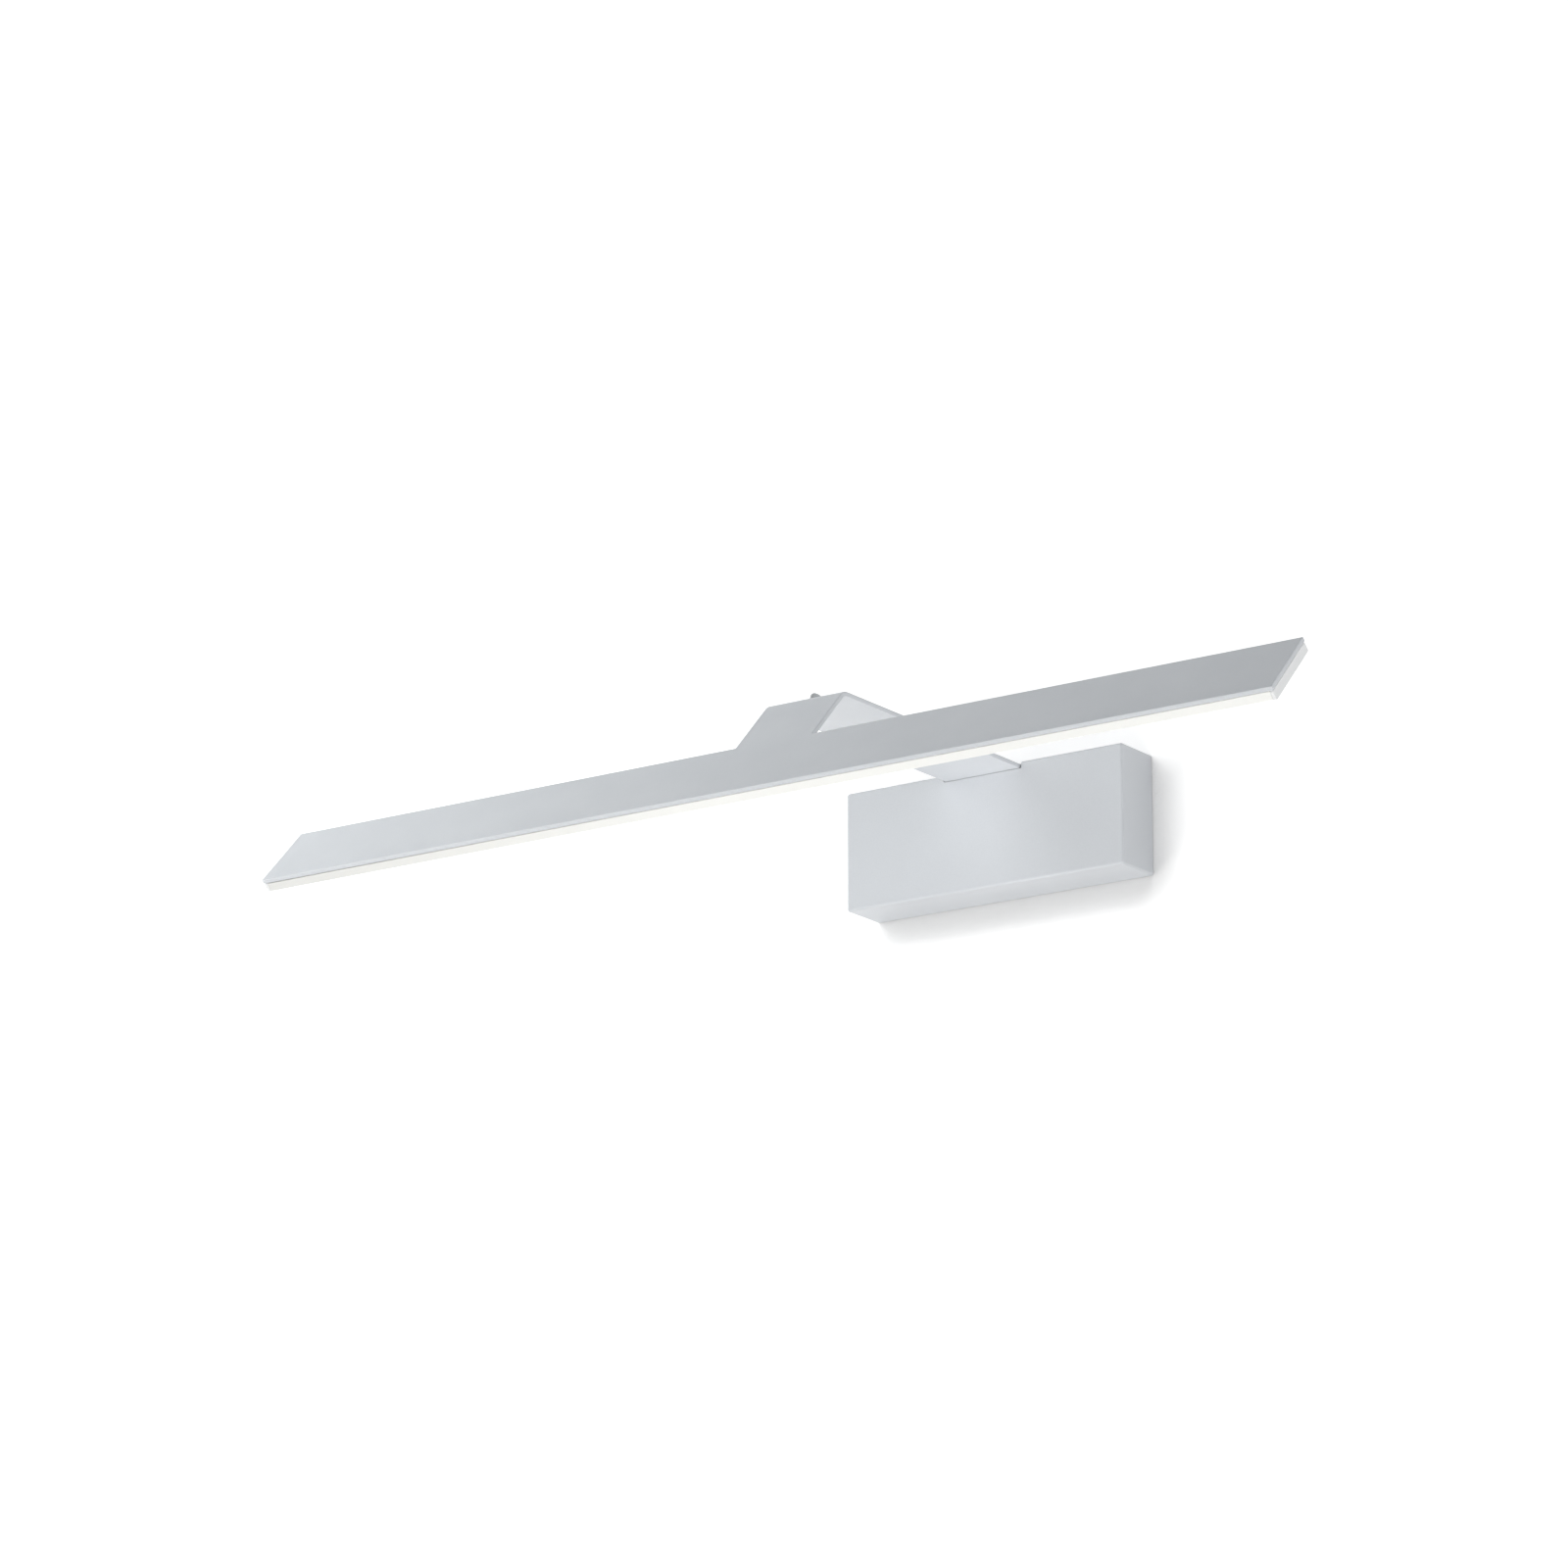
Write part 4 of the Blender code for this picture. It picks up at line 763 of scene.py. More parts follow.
# %% Screws
THREAD_PITCH = 0.0005
THREAD_DEPTH = 0.00022
CROSS_WIDTH_SHARE = 0.26
CROSS_REACH_SHARE = 0.62
CROSS_TAPER_SHARE = 0.45
CROSS_RISE = 0.0002
CROWN_SHARE = 0.6
HEAD_HEIGHT = 0.0018
COVER_SCREW_HEAD = 0.0030
COVER_SCREW_LENGTH = 0.0085
CASE_SCREW_HEAD = 0.0028
CASE_SCREW_RADIUS = 0.0014
CASE_SCREW_LENGTH = 0.0046


def thread(radius, top, foot):
    """Points of a threaded shank, from its top down to its foot."""
    count = max(1, int((top - foot) / THREAD_PITCH))
    step = (top - foot) / count
    points = []
    for index in range(count):
        start = top - index * step
        points += [(radius - THREAD_DEPTH, start), (radius, start - step / 2)]
    return points + [(radius - THREAD_DEPTH, foot)]


def blade(width, reach, top, foot):
    """One tapered blade of the cross, from its top down to its foot."""
    modelled = bmesh.new()
    bmesh.ops.create_cube(modelled, size=1)
    for vert in modelled.verts:
        upper = vert.co.z > 0
        share = 1 if upper else CROSS_TAPER_SHARE
        vert.co = (2 * vert.co.x * reach * share, vert.co.y * width * share, top if upper else foot)
    return mesh_of(modelled)


def pan_screw(head_radius, shank_radius, length):
    """A pan-head screw along Z, with the underside of its head at zero."""
    rise = HEAD_HEIGHT * CROWN_SHARE
    rim = HEAD_HEIGHT - rise
    profile = [(head_radius * out, rim + rise * up) for up, out in arc((0, 0), 1, 0, pi / 2)]
    profile += [(head_radius, rim / 4), (head_radius - rim / 4, 0), (shank_radius, 0)]
    profile += thread(shank_radius, -THREAD_PITCH, -length + shank_radius / 3)
    profile += [(shank_radius / 2, -length), (0, -length)]
    width = head_radius * CROSS_WIDTH_SHARE
    first = blade(width, head_radius * CROSS_REACH_SHARE, HEAD_HEIGHT + CROSS_RISE, rim)
    second = first.copy()
    second.transform(Matrix.Rotation(pi / 2, 4, "Z"))
    return combined(turned(profile), "DIFFERENCE", [first, second])


for word, side in SIDES:
    screw = pan_screw(COVER_SCREW_HEAD, COVER_SCREW_RADIUS, COVER_SCREW_LENGTH)
    place = (side * COVER_SCREW_X, COVER_SCREW_Y, TOP + SEAT)
    piece("canopy_screw_" + word, screw, "steel", STEEL, "cover_screw_" + word, body="cover", place=place)
for word, side in SIDES:
    screw = pan_screw(CASE_SCREW_HEAD, CASE_SCREW_RADIUS, CASE_SCREW_LENGTH)
    node = "driver_screw_" + word
    place = (middle(node).x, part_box(node)[0].y + HEAD_HEIGHT, middle(node).z)
    piece("case_screw_" + word, screw, "steel", STEEL, node, place=place, turn=TO_FRONT)

# %% [markdown]
# A nut is a hexagon with its corners turned off. A hexagonal prism is cut by a lens-shaped solid of
# revolution, so that the chamfer runs in the arcs that a real nut shows on each flat. The washers
# are punched rings with soft edges.

# %% Nuts and washers
NUT_CHAMFER = 0.0004
STUD_NUT = (0.0070, 0.0032, STUD_RADIUS + SEAT / 2)
TAB_NUT = (0.0055, 0.0024, COVER_SCREW_RADIUS + SEAT / 2)
WASHER_RADIUS = 0.0045
WASHER = 0.0008
EARTH_X = -0.042
EARTH_Z = 0.017


def hexagon_nut(across, height, bore):
    """A nut along Z with its lower face at zero, chamfered at both ends."""
    corner = across / (2 * cos(pi / 6))
    hexagon = arc((0, 0), corner, 0, 2 * pi, 6)[:-1]
    prism = flat([hexagon, circle((0, 0), bore)], height, UPRIGHT, height / 2)
    lens = turned([
        (0, -SEAT), (across / 2 - SEAT, -SEAT), (across / 2, 0), (corner, NUT_CHAMFER),
        (corner + SEAT, height / 2), (corner, height - NUT_CHAMFER), (across / 2, height),
        (across / 2 - SEAT, height + SEAT), (0, height + SEAT),
    ])
    return combined(prism, "INTERSECT", [lens])


def washer(outer, bore, height):
    """A punched ring with soft outer edges."""
    soft = height / 4
    profile = [(bore, 0), (bore, height), (outer - soft, height), (outer, height - soft), (outer, soft)]
    profile += [(outer - soft, 0), (bore, 0)]
    return turned(profile)


def on_stud(name, mesh, slot, material, node, x, z):
    """A nut or a washer, seated on a stud of the backplate."""
    piece(name, mesh, slot, material, node, place=(x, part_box(node)[1].y, z), turn=TO_FRONT)


for word, side in SIDES:
    nut = hexagon_nut(*STUD_NUT)
    on_stud("flange_nut_" + word, nut, "zinc", NUT_ZINC, "arm_nut_" + word, side * STUD_X, STUD_Z)
    ring = washer(WASHER_RADIUS, STUD_RADIUS + SEAT, WASHER)
    on_stud("flange_washer_" + word, ring, "steel", STEEL, "arm_washer_" + word, side * STUD_X, STUD_Z)
on_stud("earthing_nut", hexagon_nut(*STUD_NUT), "zinc", NUT_ZINC, "earth_nut", EARTH_X, EARTH_Z)
for word, side in SIDES:
    node = "cover_nut_" + word
    place = (side * COVER_SCREW_X, COVER_SCREW_Y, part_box(node)[0].z)
    piece("tab_nut_" + word, hexagon_nut(*TAB_NUT), "zinc", NUT_ZINC, node, body="cover", place=place)

# %% [markdown]
# The backplate is cut from zinc-plated sheet. It is drawn as a flat outline with its holes, and
# the two tabs that hold the cover's screws are folded forward at its top. The welded studs carry a
# thread, turned as the screws are. Everything is joined, so that no seam shows at the welds.

# %% Backplate
PLATE = 0.0015
PLATE_ROUND = 0.0020
PLATE_EDGE = 0.00015
WALL_SLOT_X = 0.059
WALL_SLOT_Z = 0.0205
WALL_SLOT_WIDTH = 0.0055
WALL_SLOT_LENGTH = 0.0100
CABLE_X = -0.073
CABLE_Z = 0.0078
CABLE_RADIUS = 0.0060
TAB_WIDTH = 0.014
TAB = 0.0015
TAB_REACH = -plate_low.y
DRIVER_SCREWS_X = [middle("driver_screw_" + word).x for word, side in SIDES]
DRIVER_Z = -0.013
STUD_REACH = 0.0130
EARTH_STUD_REACH = 0.0110
STUDS = ((-STUD_X, STUD_Z, STUD_REACH), (STUD_X, STUD_Z, STUD_REACH), (EARTH_X, EARTH_Z, EARTH_STUD_REACH))


def backplate():
    """The plate with its holes, its tabs and its threaded studs."""
    width = plate_high.x - plate_low.x
    outlines = [round_rectangle((0, 0), width, -2 * plate_low.z, PLATE_ROUND)]
    outlines.append(circle((CABLE_X, CABLE_Z), CABLE_RADIUS))
    for x in (-WALL_SLOT_X, WALL_SLOT_X):
        soft = WALL_SLOT_WIDTH / 2 - SLOT_SHAVE
        outlines.append(round_rectangle((x, WALL_SLOT_Z), WALL_SLOT_LENGTH, WALL_SLOT_WIDTH, soft))
    for x in DRIVER_SCREWS_X:
        outlines.append(circle((x, DRIVER_Z), CASE_SCREW_RADIUS + SEAT))
    plate = eased(flat(outlines, PLATE, ALONG_Y, PLATE / 2), PLATE_EDGE)
    added = []
    for x, z, reach in STUDS:
        end = reach - PLATE / 2
        profile = [(0, end)] + thread(STUD_RADIUS, end, 0) + [(0, 0)]
        added.append(turned(profile, (x, -PLATE / 2, z), TO_FRONT))
    throat = COVER_SCREW_RADIUS + SEAT
    for x in (-COVER_SCREW_X, COVER_SCREW_X):
        left, right = x - TAB_WIDTH / 2, x + TAB_WIDTH / 2
        outline = [(right, -PLATE / 2), (left, -PLATE / 2), (left, -TAB_REACH), (x - throat, -TAB_REACH)]
        outline += arc((x, COVER_SCREW_Y), throat, pi, 0)
        outline += [(x + throat, -TAB_REACH), (right, -TAB_REACH)]
        added.append(eased(flat([outline], TAB, UPRIGHT, plate_high.z - TAB / 2), PLATE_EDGE))
    return combined(plate, "UNION", added)


piece("wall_plate", backplate(), "zinc", ZINC, "backplate")

# %% [markdown]
# Two rubber rings guard the wires: a grommet in the backplate's cable entry and a bush where the
# lead goes up through the arm. Both are turned, with a groove that holds the sheet and lips that
# are round all over. The lips are drawn as half circles.

# %% Grommet and bush
GROMMET_BORE = 0.0042
GROMMET_LIP = 0.0020
GROMMET_LIP_HEIGHT = 0.0012
BUSH_LIP = 0.0014
BUSH_LIP_HEIGHT = 0.0010


def lip(inner, outer, low, high):
    """Points round a soft lip, from its inner side at the top to its inner side below."""
    soft = (high - low) / 2
    half_turn = arc((0, 0), 1, 0, pi)
    points = [(outer - soft + soft * out, (low + high) / 2 + soft * up) for up, out in half_turn]
    return [(inner, high)] + points + [(inner, low)]


def bush():
    """The ring in the arm, with a lip above the sheet and one below it."""
    half = SHEET / 2 + SEAT
    end = half + BUSH_LIP_HEIGHT
    bore, neck, outer = LEAD_RADIUS + SEAT, BUSH_HOLE_RADIUS - SEAT, BUSH_HOLE_RADIUS + BUSH_LIP
    profile = [(bore, end)] + lip(neck, outer, half, end)
    profile += lip(neck, outer, -end, -half) + [(bore, -end), (bore, end)]
    return turned(profile, (0, LEAD_Y, ARM_TOP - SHEET / 2))


def grommet():
    """The ring in the backplate's cable entry."""
    low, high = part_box("cable_grommet")
    depth = high.y - low.y
    neck = CABLE_RADIUS - SEAT
    profile = [(GROMMET_BORE, 0)] + lip(neck, CABLE_RADIUS + GROMMET_LIP, -GROMMET_LIP_HEIGHT, 0)
    profile += [(neck, -depth), (GROMMET_BORE, -depth), (GROMMET_BORE, 0)]
    return turned(profile, (CABLE_X, low.y, CABLE_Z), TO_FRONT)


piece("arm_bush", bush(), "rubber", RUBBER, "lead_bush")
piece("entry_grommet", grommet(), "rubber", RUBBER, "cable_grommet")

# %% [markdown]
# The lead and the wires follow a few given points. Points alone give a broken line, so a curve is passed
# through them, with more points where it bends. A ring of points is then carried along the curve without
# twisting, and the rings are joined into a tube. A curve with a bevel would do the same, but a mesh lets
# each column of faces have its own colour, which makes the stripes of the earth wire.

# %% Helpers for wires
ROUTE_BEND = radians(5)
TUBE_SIDES = 24


def smooth_route(points):
    """Points on a smooth curve through the route's own points, closer together where it bends."""
    points = [Vector(point) for point in points]
    ends = [2 * points[0] - points[1]] + points + [2 * points[-1] - points[-2]]
    route = []
    for before, start, end, after in zip(ends, ends[1:], ends[2:], ends[3:]):
        bend = (end - before).angle(end - start) + (after - start).angle(end - start)
        count = max(1, ceil(bend / ROUTE_BEND))
        for index in range(count):
            t = index / count
            leave = (end - before) * (t - 2 * t**2 + t**3) / 2
            arrive = (after - start) * (t**3 - t**2) / 2
            route.append(start * (1 - 3 * t**2 + 2 * t**3) + end * (3 * t**2 - 2 * t**3) + leave + arrive)
    return route + [points[-1]]


def tube(points, radius, striped=False):
    """A closed round tube along a smooth route, with every other quarter striped if asked."""
    route = smooth_route(points)
    modelled = bmesh.new()
    across = (route[1] - route[0]).orthogonal().normalized()
    rings = []
    for index, place in enumerate(route):
        along = (route[min(index + 1, len(route) - 1)] - route[max(index - 1, 0)]).normalized()
        across = (across - along * across.dot(along)).normalized()
        other = along.cross(across)
        points = arc((0, 0), radius, 0, 2 * pi, TUBE_SIDES)[:-1]
        rings.append([modelled.verts.new(place + across * x + other * y) for x, y in points])
    for ring, following in zip(rings, rings[1:]):
        for side in range(TUBE_SIDES):
            after = (side + 1) % TUBE_SIDES
            face = modelled.faces.new((ring[side], ring[after], following[after], following[side]))
            face.material_index = int(striped and side * 4 // TUBE_SIDES % 2 == 1)
    modelled.faces.new(rings[0][::-1])
    modelled.faces.new(rings[-1])
    bmesh.ops.recalc_face_normals(modelled, faces=modelled.faces)
    return mesh_of(modelled)


print("Helpers for wires are ready")

# %% [markdown]
# The lead carries the low voltage from the driver to the bar. It leaves the driver's right end,
# turns over the driver's top, goes up through the arm, runs along the arm under three clips, arches
# over the fold and goes down through a slot into the tray. The route repeats the points of the
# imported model, as shares of the loft that the lead has where it bends. Only its arch at the fold is
# drawn flatter, as the photo shows it.

# %% Lead to the bar
LOFT = 0.0052
LEAD_SHAVE = 0.00002
POCKET_DEPTH = 0.0017
LUG_LENGTH = 0.0085
TURN_SHARES = ((1.6, 0.8), (1.4, 2.8))
OVER_SHARES = ((2.6, -0.4), (5, 0.2))
RISE_SHARES = ((1.1, 0.8), (0.18, 1.5))
ARCH_SHARES = ((0, 0), (0.25, 0.75), (0.95, 1), (1.8, 0.65), (2.8, 0.15), (3.8, 0))
FOLD_SHARES = (
    (3.42, 0), (2.61, 0.15), (1.8, 0.31), (1.188, 0.12), (1.008, -0.65), (0.828, -1.378), (0.324, -1.95)
)
BOARD_WIDTH = 0.012
case_low, case_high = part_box("driver_case")
DRIVER_LEFT = case_low.x + LUG_LENGTH
DRIVER_RIGHT = case_high.x - LUG_LENGTH
CLIPS_Y = [middle("lead_clip_" + number).y for number in "123"]


def lead_route():
    """Out of the driver, up through the arm, along its top, down at the fold, into the tray."""
    inner_side = cover_high.x - COVER_WALL
    shelf = case_high.z + 2 * LOFT
    run = ARM_TOP + SEAT + LEAD_RADIUS
    route = [(x, LEAD_Y, DRIVER_Z) for x in (DRIVER_RIGHT - POCKET_DEPTH, DRIVER_RIGHT + 2 * LEAD_RADIUS)]
    route += [(inner_side - LOFT * a, LEAD_Y, DRIVER_Z + LOFT * up) for a, up in TURN_SHARES]
    route += [(inner_side - LOFT * a, LEAD_Y, shelf + LOFT * up) for a, up in OVER_SHARES]
    route.append((ARM_WIDTH / 2, LEAD_Y, shelf + LEAD_RADIUS + LEAD_RADIUS / 2))
    route += [(LOFT * a, LEAD_Y, shelf + LOFT * up) for a, up in RISE_SHARES]
    route += [(0, LEAD_Y, ARM_UNDER - 2 * LEAD_RADIUS), (0, LEAD_Y, ARM_UNDER)]
    route += [(0, LEAD_Y - LOFT * on, run + LOFT * up) for on, up in ARCH_SHARES]
    route += [(0, y, run) for y in CLIPS_Y]
    route += [(0, FOLD.y + LOFT * back, run + LOFT * up) for back, up in FOLD_SHARES]
    board_edge = ARM_SLOPE + BAR_WIDTH / 2 - BOARD_WIDTH / 2
    for distance in (ARM_SLOPE / 4, ARM_SLOPE / 2, ARM_SLOPE, board_edge - LEAD_RADIUS):
        route.append(FOLD + DOWN_SLOPE * distance - OUTWARD * LEAD_DEPTH)
    return route


piece("bar_lead", tube(lead_route(), LEAD_RADIUS - LEAD_SHAVE), "lead", LEAD_SKIN, "led_lead")

# %% [markdown]
# Three saddle clips hold the lead on the arm. Each is a strip bent over the lead with a foot on
# each side, and a thin foam pad sticks each foot to the paint. The strip is one line, pulled to
# width and thickened.

# %% Lead clips
CLIP_FOOT = 0.0030
CLIP_LENGTH = 0.0050
CLIP_SHEET = 0.0006
CLIP_EDGE = 0.00012


def saddle_clip(y):
    """A clip across the lead, with its two foam pads as a second material."""
    inside = LEAD_RADIUS + SEAT
    foot_z = ARM_TOP + SEAT
    line = [(-inside - CLIP_FOOT, foot_z), (-inside, foot_z)]
    line += arc((0, foot_z + LEAD_RADIUS), inside, pi, 0)
    line += [(inside, foot_z), (inside + CLIP_FOOT, foot_z)]
    modelled, edges = drawn([(x, y - CLIP_LENGTH / 2, z) for x, z in line])
    pulled(modelled, edges, (0, CLIP_LENGTH, 0))
    strip = eased(thickened(mesh_of(modelled), CLIP_SHEET), CLIP_EDGE)
    joined = bmesh.new()
    joined.from_mesh(strip)
    for side in (-1, 1):
        near, far = sorted((side * (inside + SEAT), side * (inside + CLIP_FOOT - SEAT)))
        low = (near, y - CLIP_LENGTH / 2 + SEAT, ARM_TOP)
        joined.from_mesh(box(low, (far, y + CLIP_LENGTH / 2 - SEAT, foot_z)))
    mesh = mesh_of(joined)
    for index, face in enumerate(mesh.polygons):
        face.material_index = int(index >= len(strip.polygons))
    return mesh


for number, y in zip("123", CLIPS_Y):
    finishes = [CLIP_PLASTIC, FOAM]
    piece("saddle_clip_" + number, saddle_clip(y), "cap_plastic", finishes, "lead_clip_" + number)

# %% [markdown]
# The driver turns mains voltage into the low voltage of the diodes. It is a closed plastic case in
# two halves, with a seam round it, a lug at each end and a small collar round each wire. The case
# is a box with round edges. A thin frame cut from it makes the seam.

# %% Driver
LUG_WIDTH = 0.012
LUG = 0.0025
LUG_ROUND = 0.004
LUG_EDGE = 0.0002
CASE_ROUND = 0.0012
SEAM = 0.0004
SEAM_SHARE = 0.7
COLLAR = 0.0006
WIRE_RADIUS = 0.0009
WIRE_POCKET = 0.0020
WIRE_Y = -0.0108
POLES_Z = (-0.024, -0.015, -0.006)


def case_seam():
    """A thin frame round the case, where its two halves meet."""
    y = case_high.y + (case_low.y - case_high.y) * SEAM_SHARE
    centre = ((DRIVER_LEFT + DRIVER_RIGHT) / 2, DRIVER_Z)
    length, height = DRIVER_RIGHT - DRIVER_LEFT, case_high.z - case_low.z
    outer = round_rectangle(centre, length + SEAM, height + SEAM, CASE_ROUND)
    inner = round_rectangle(centre, length - SEAM, height - SEAM, CASE_ROUND)
    return flat([outer, inner], SEAM, ALONG_Y, -y)


def driver_case():
    """The case with its seam, lugs, wire pockets and collars."""
    body = box((DRIVER_LEFT, case_low.y, case_low.z), (DRIVER_RIGHT, case_high.y, case_high.z))
    case = eased(body, CASE_ROUND, segments=5)
    centre = ((case_low.x + case_high.x) / 2, DRIVER_Z)
    outlines = [round_rectangle(centre, case_high.x - case_low.x, LUG_WIDTH, LUG_ROUND)]
    outlines += [circle((x, DRIVER_Z), CASE_SCREW_RADIUS + SEAT) for x in DRIVER_SCREWS_X]
    added = [eased(flat(outlines, LUG, ALONG_Y, -(case_high.y - SEAT - LUG / 2)), LUG_EDGE)]
    cutters = [case_seam()]
    wires = [(DRIVER_LEFT, -1, WIRE_Y, z, WIRE_RADIUS, 2 * WIRE_RADIUS) for z in POLES_Z[:2]]
    wires.append((DRIVER_RIGHT, 1, LEAD_Y, DRIVER_Z, LEAD_RADIUS, LEAD_RADIUS + 3 * SEAT))
    for x, side, y, z, radius, collar in wires:
        end = (x - side * WIRE_POCKET, y, z)
        added.append(rod(collar, (x + side * COLLAR, y, z), end))
        cutters.append(rod(radius + SEAT / 2, (x + side * OVERRUN, y, z), end))
    return combined(combined(case, "UNION", added), "DIFFERENCE", cutters)


piece("driver_housing", driver_case(), "case", CASE_PLASTIC, "driver_case")

# %% [markdown]
# The mains cable ends in a block of three poles. Each is a small tower with a funnel where the wire
# goes in and a brass screw that clamps it. The towers stand on one base, so they are joined to it
# before the holes are cut. The clamp screws have a single slot.

# %% Terminal block
block_low, block_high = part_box("terminal_block")
BLOCK_X = (block_low.x + block_high.x) / 2
BLOCK_BASE = 0.0050
BLOCK_EDGE = 0.0003
POLE_WIDTH = 0.0068
POLE_EDGE = 0.0008
WIRE_HOLE = 0.0015
FUNNEL = 0.0022
CLAMP_RADIUS = 0.0017
CLAMP_SINK = 0.0006
CLAMP_EDGE = 0.0002


def terminal_block():
    """The base, its three towers, the funnels and the holes of the clamp screws."""
    front = block_high.y - BLOCK_BASE
    base = eased(box((block_low.x, front, block_low.z), block_high), BLOCK_EDGE)
    towers, cutters = [], []
    for z in POLES_Z:
        low = (block_low.x + POLE_EDGE, block_low.y, z - POLE_WIDTH / 2)
        high = (block_high.x - POLE_EDGE, front + POLE_EDGE, z + POLE_WIDTH / 2)
        towers.append(eased(box(low, high), POLE_EDGE, segments=4))
        left, right = (block_low.x - OVERRUN, WIRE_Y, z), (block_high.x + OVERRUN, WIRE_Y, z)
        cutters.append(rod(WIRE_HOLE, left, right))
        for end, inner in ((low[0], low[0] + POLE_EDGE), (high[0], high[0] - POLE_EDGE)):
            cutters.append(rod(FUNNEL, (end, WIRE_Y, z), (inner, WIRE_Y, z), end_radius=WIRE_HOLE))
        outside = (BLOCK_X, block_low.y - OVERRUN, z)
        cutters.append(rod(CLAMP_RADIUS + SEAT, outside, (BLOCK_X, WIRE_Y, z)))
    return combined(combined(base, "UNION", towers), "DIFFERENCE", cutters)


def clamp_screw(z):
    """A slotted brass screw in its tower."""
    front = block_low.y + CLAMP_SINK
    back = WIRE_Y - WIRE_HOLE / 2
    stem = eased(rod(CLAMP_RADIUS, (BLOCK_X, back, z), (BLOCK_X, front, z)), CLAMP_EDGE)
    half = CLAMP_RADIUS + SEAT
    slot = box((BLOCK_X - half, front - SEAT, z - SEAT), (BLOCK_X + half, front + CLAMP_SINK, z + SEAT))
    return combined(stem, "DIFFERENCE", [slot])


piece("mains_block", terminal_block(), "block", BLOCK_PLASTIC, "terminal_block")
for number, z in zip("123", POLES_Z):
    piece("clamp_screw_" + number, clamp_screw(z), "brass", BRASS, "terminal_screw_" + number)

# %% [markdown]
# Short wires join the block to the driver and to the earth stud. They are stiff, so they bow only
# a little. The earth wire is green with a yellow stripe, and ends in the sleeve of a ring tag.

# %% Wires and earth tag
WIRE_START_X = BLOCK_X + 0.004
WIRE_LEAVE_X = block_high.x + 2 * WIRE_RADIUS
TAG = 0.0008
TAG_RADIUS = 0.0042
TAG_NECK = 0.0055
TAG_EDGE = 0.0001
SLEEVE_RADIUS = 0.0017
SLEEVE_LENGTH = 0.0050
SLEEVE_EDGE = 0.0002
SLEEVE_Y = -0.0038
SLEEVE_TOP = EARTH_Z - TAG_NECK
SLEEVE_FOOT = SLEEVE_TOP - SLEEVE_LENGTH


def mains_wire(z):
    """A wire from the block to the driver, bowed a little to the front."""
    ends = (WIRE_START_X, WIRE_LEAVE_X, DRIVER_LEFT - 2 * WIRE_RADIUS, DRIVER_LEFT + POCKET_DEPTH)
    belly = ((block_high.x + DRIVER_LEFT) / 2, WIRE_Y - 2 * WIRE_RADIUS, z)
    start, leave, arrive, end = ((x, WIRE_Y, z) for x in ends)
    return tube([start, leave, belly, arrive, end], WIRE_RADIUS)


def earth_wire():
    """The earth wire, from its pole up to the sleeve of the tag."""
    z = POLES_Z[-1]
    swing = (EARTH_X + block_high.x) / 2
    points = [
        (WIRE_START_X, WIRE_Y, z),
        (WIRE_LEAVE_X, WIRE_Y, z),
        (swing + 4 * WIRE_RADIUS, (WIRE_Y + SLEEVE_Y) / 2, z + WIRE_RADIUS),
        (EARTH_X, SLEEVE_Y, SLEEVE_FOOT - 4 * WIRE_RADIUS),
        (EARTH_X, SLEEVE_Y, SLEEVE_FOOT + SLEEVE_LENGTH / 2),
    ]
    return tube(points, WIRE_RADIUS, striped=True)


def ring_tag():
    """The crimped ring tag on the earth stud."""
    level = arm_high.y - TAG / 2
    outlines = [circle((EARTH_X, EARTH_Z), radius) for radius in (TAG_RADIUS, STUD_RADIUS + SEAT)]
    ring = eased(flat(outlines, TAG, ALONG_Y, -level), TAG_EDGE)
    foot, top = (EARTH_X, SLEEVE_Y, SLEEVE_FOOT), (EARTH_X, SLEEVE_Y, SLEEVE_TOP)
    sleeve = eased(rod(SLEEVE_RADIUS, foot, top), SLEEVE_EDGE)
    low = (EARTH_X - SLEEVE_RADIUS, level - SEAT, (SLEEVE_TOP + SLEEVE_FOOT) / 2)
    neck = box(low, (EARTH_X + SLEEVE_RADIUS, level + SEAT, EARTH_Z - TAG_RADIUS + TAG))
    below, stop = (EARTH_X, SLEEVE_Y, SLEEVE_FOOT - OVERRUN), (EARTH_X, SLEEVE_Y, SLEEVE_TOP - SEAT)
    bore = rod(WIRE_RADIUS + SEAT / 2, below, stop)
    return combined(combined(ring, "UNION", [sleeve, neck]), "DIFFERENCE", [bore])


piece("live_core", mains_wire(POLES_Z[0]), "brown_wire", BROWN_SKIN, "live_wire")
piece("neutral_core", mains_wire(POLES_Z[1]), "blue_wire", BLUE_SKIN, "neutral_wire")
piece("earth_core", earth_wire(), "green_wire", [GREEN_SKIN, YELLOW_SKIN], "earth_wire")
piece("crimped_tag", ring_tag(), "steel", STEEL, "earth_tag")

# %% [markdown]
# The light hangs on a white wall, over a pale floor far below. To be a clean white on the page the wall
# would need more light than the paint can stand, so its material adds white where the camera, a reflection
# or a clear body looks at it. It adds less where the canopy closes the wall in on the side away from the
# left lamp, right of the canopy and below it, and that paints the canopy's soft shadow there. Seen from
# behind, the wall lets the view through, and an opening in it lets light reach the backplate.

# %% Wall and floor
WALL_HALF = 4.0
FLOOR_Z = -1.6
OPENING_X = 0.080
OPENING_Z = 0.027
BACKDROP = tone(224, 224, 224)
WALL_LIFT = 0.55
PAINTED_SHADOW_REACH = 0.021
PAINTED_SHADOW_SAMPLES = 6
PAINTED_SHADOW_DARKEST = 0.55
PAINTED_SHADOW_CLEAR = 0.93
PAINTED_SHADOW_TILT = Vector((-1.7, -1, 3.8)).normalized()


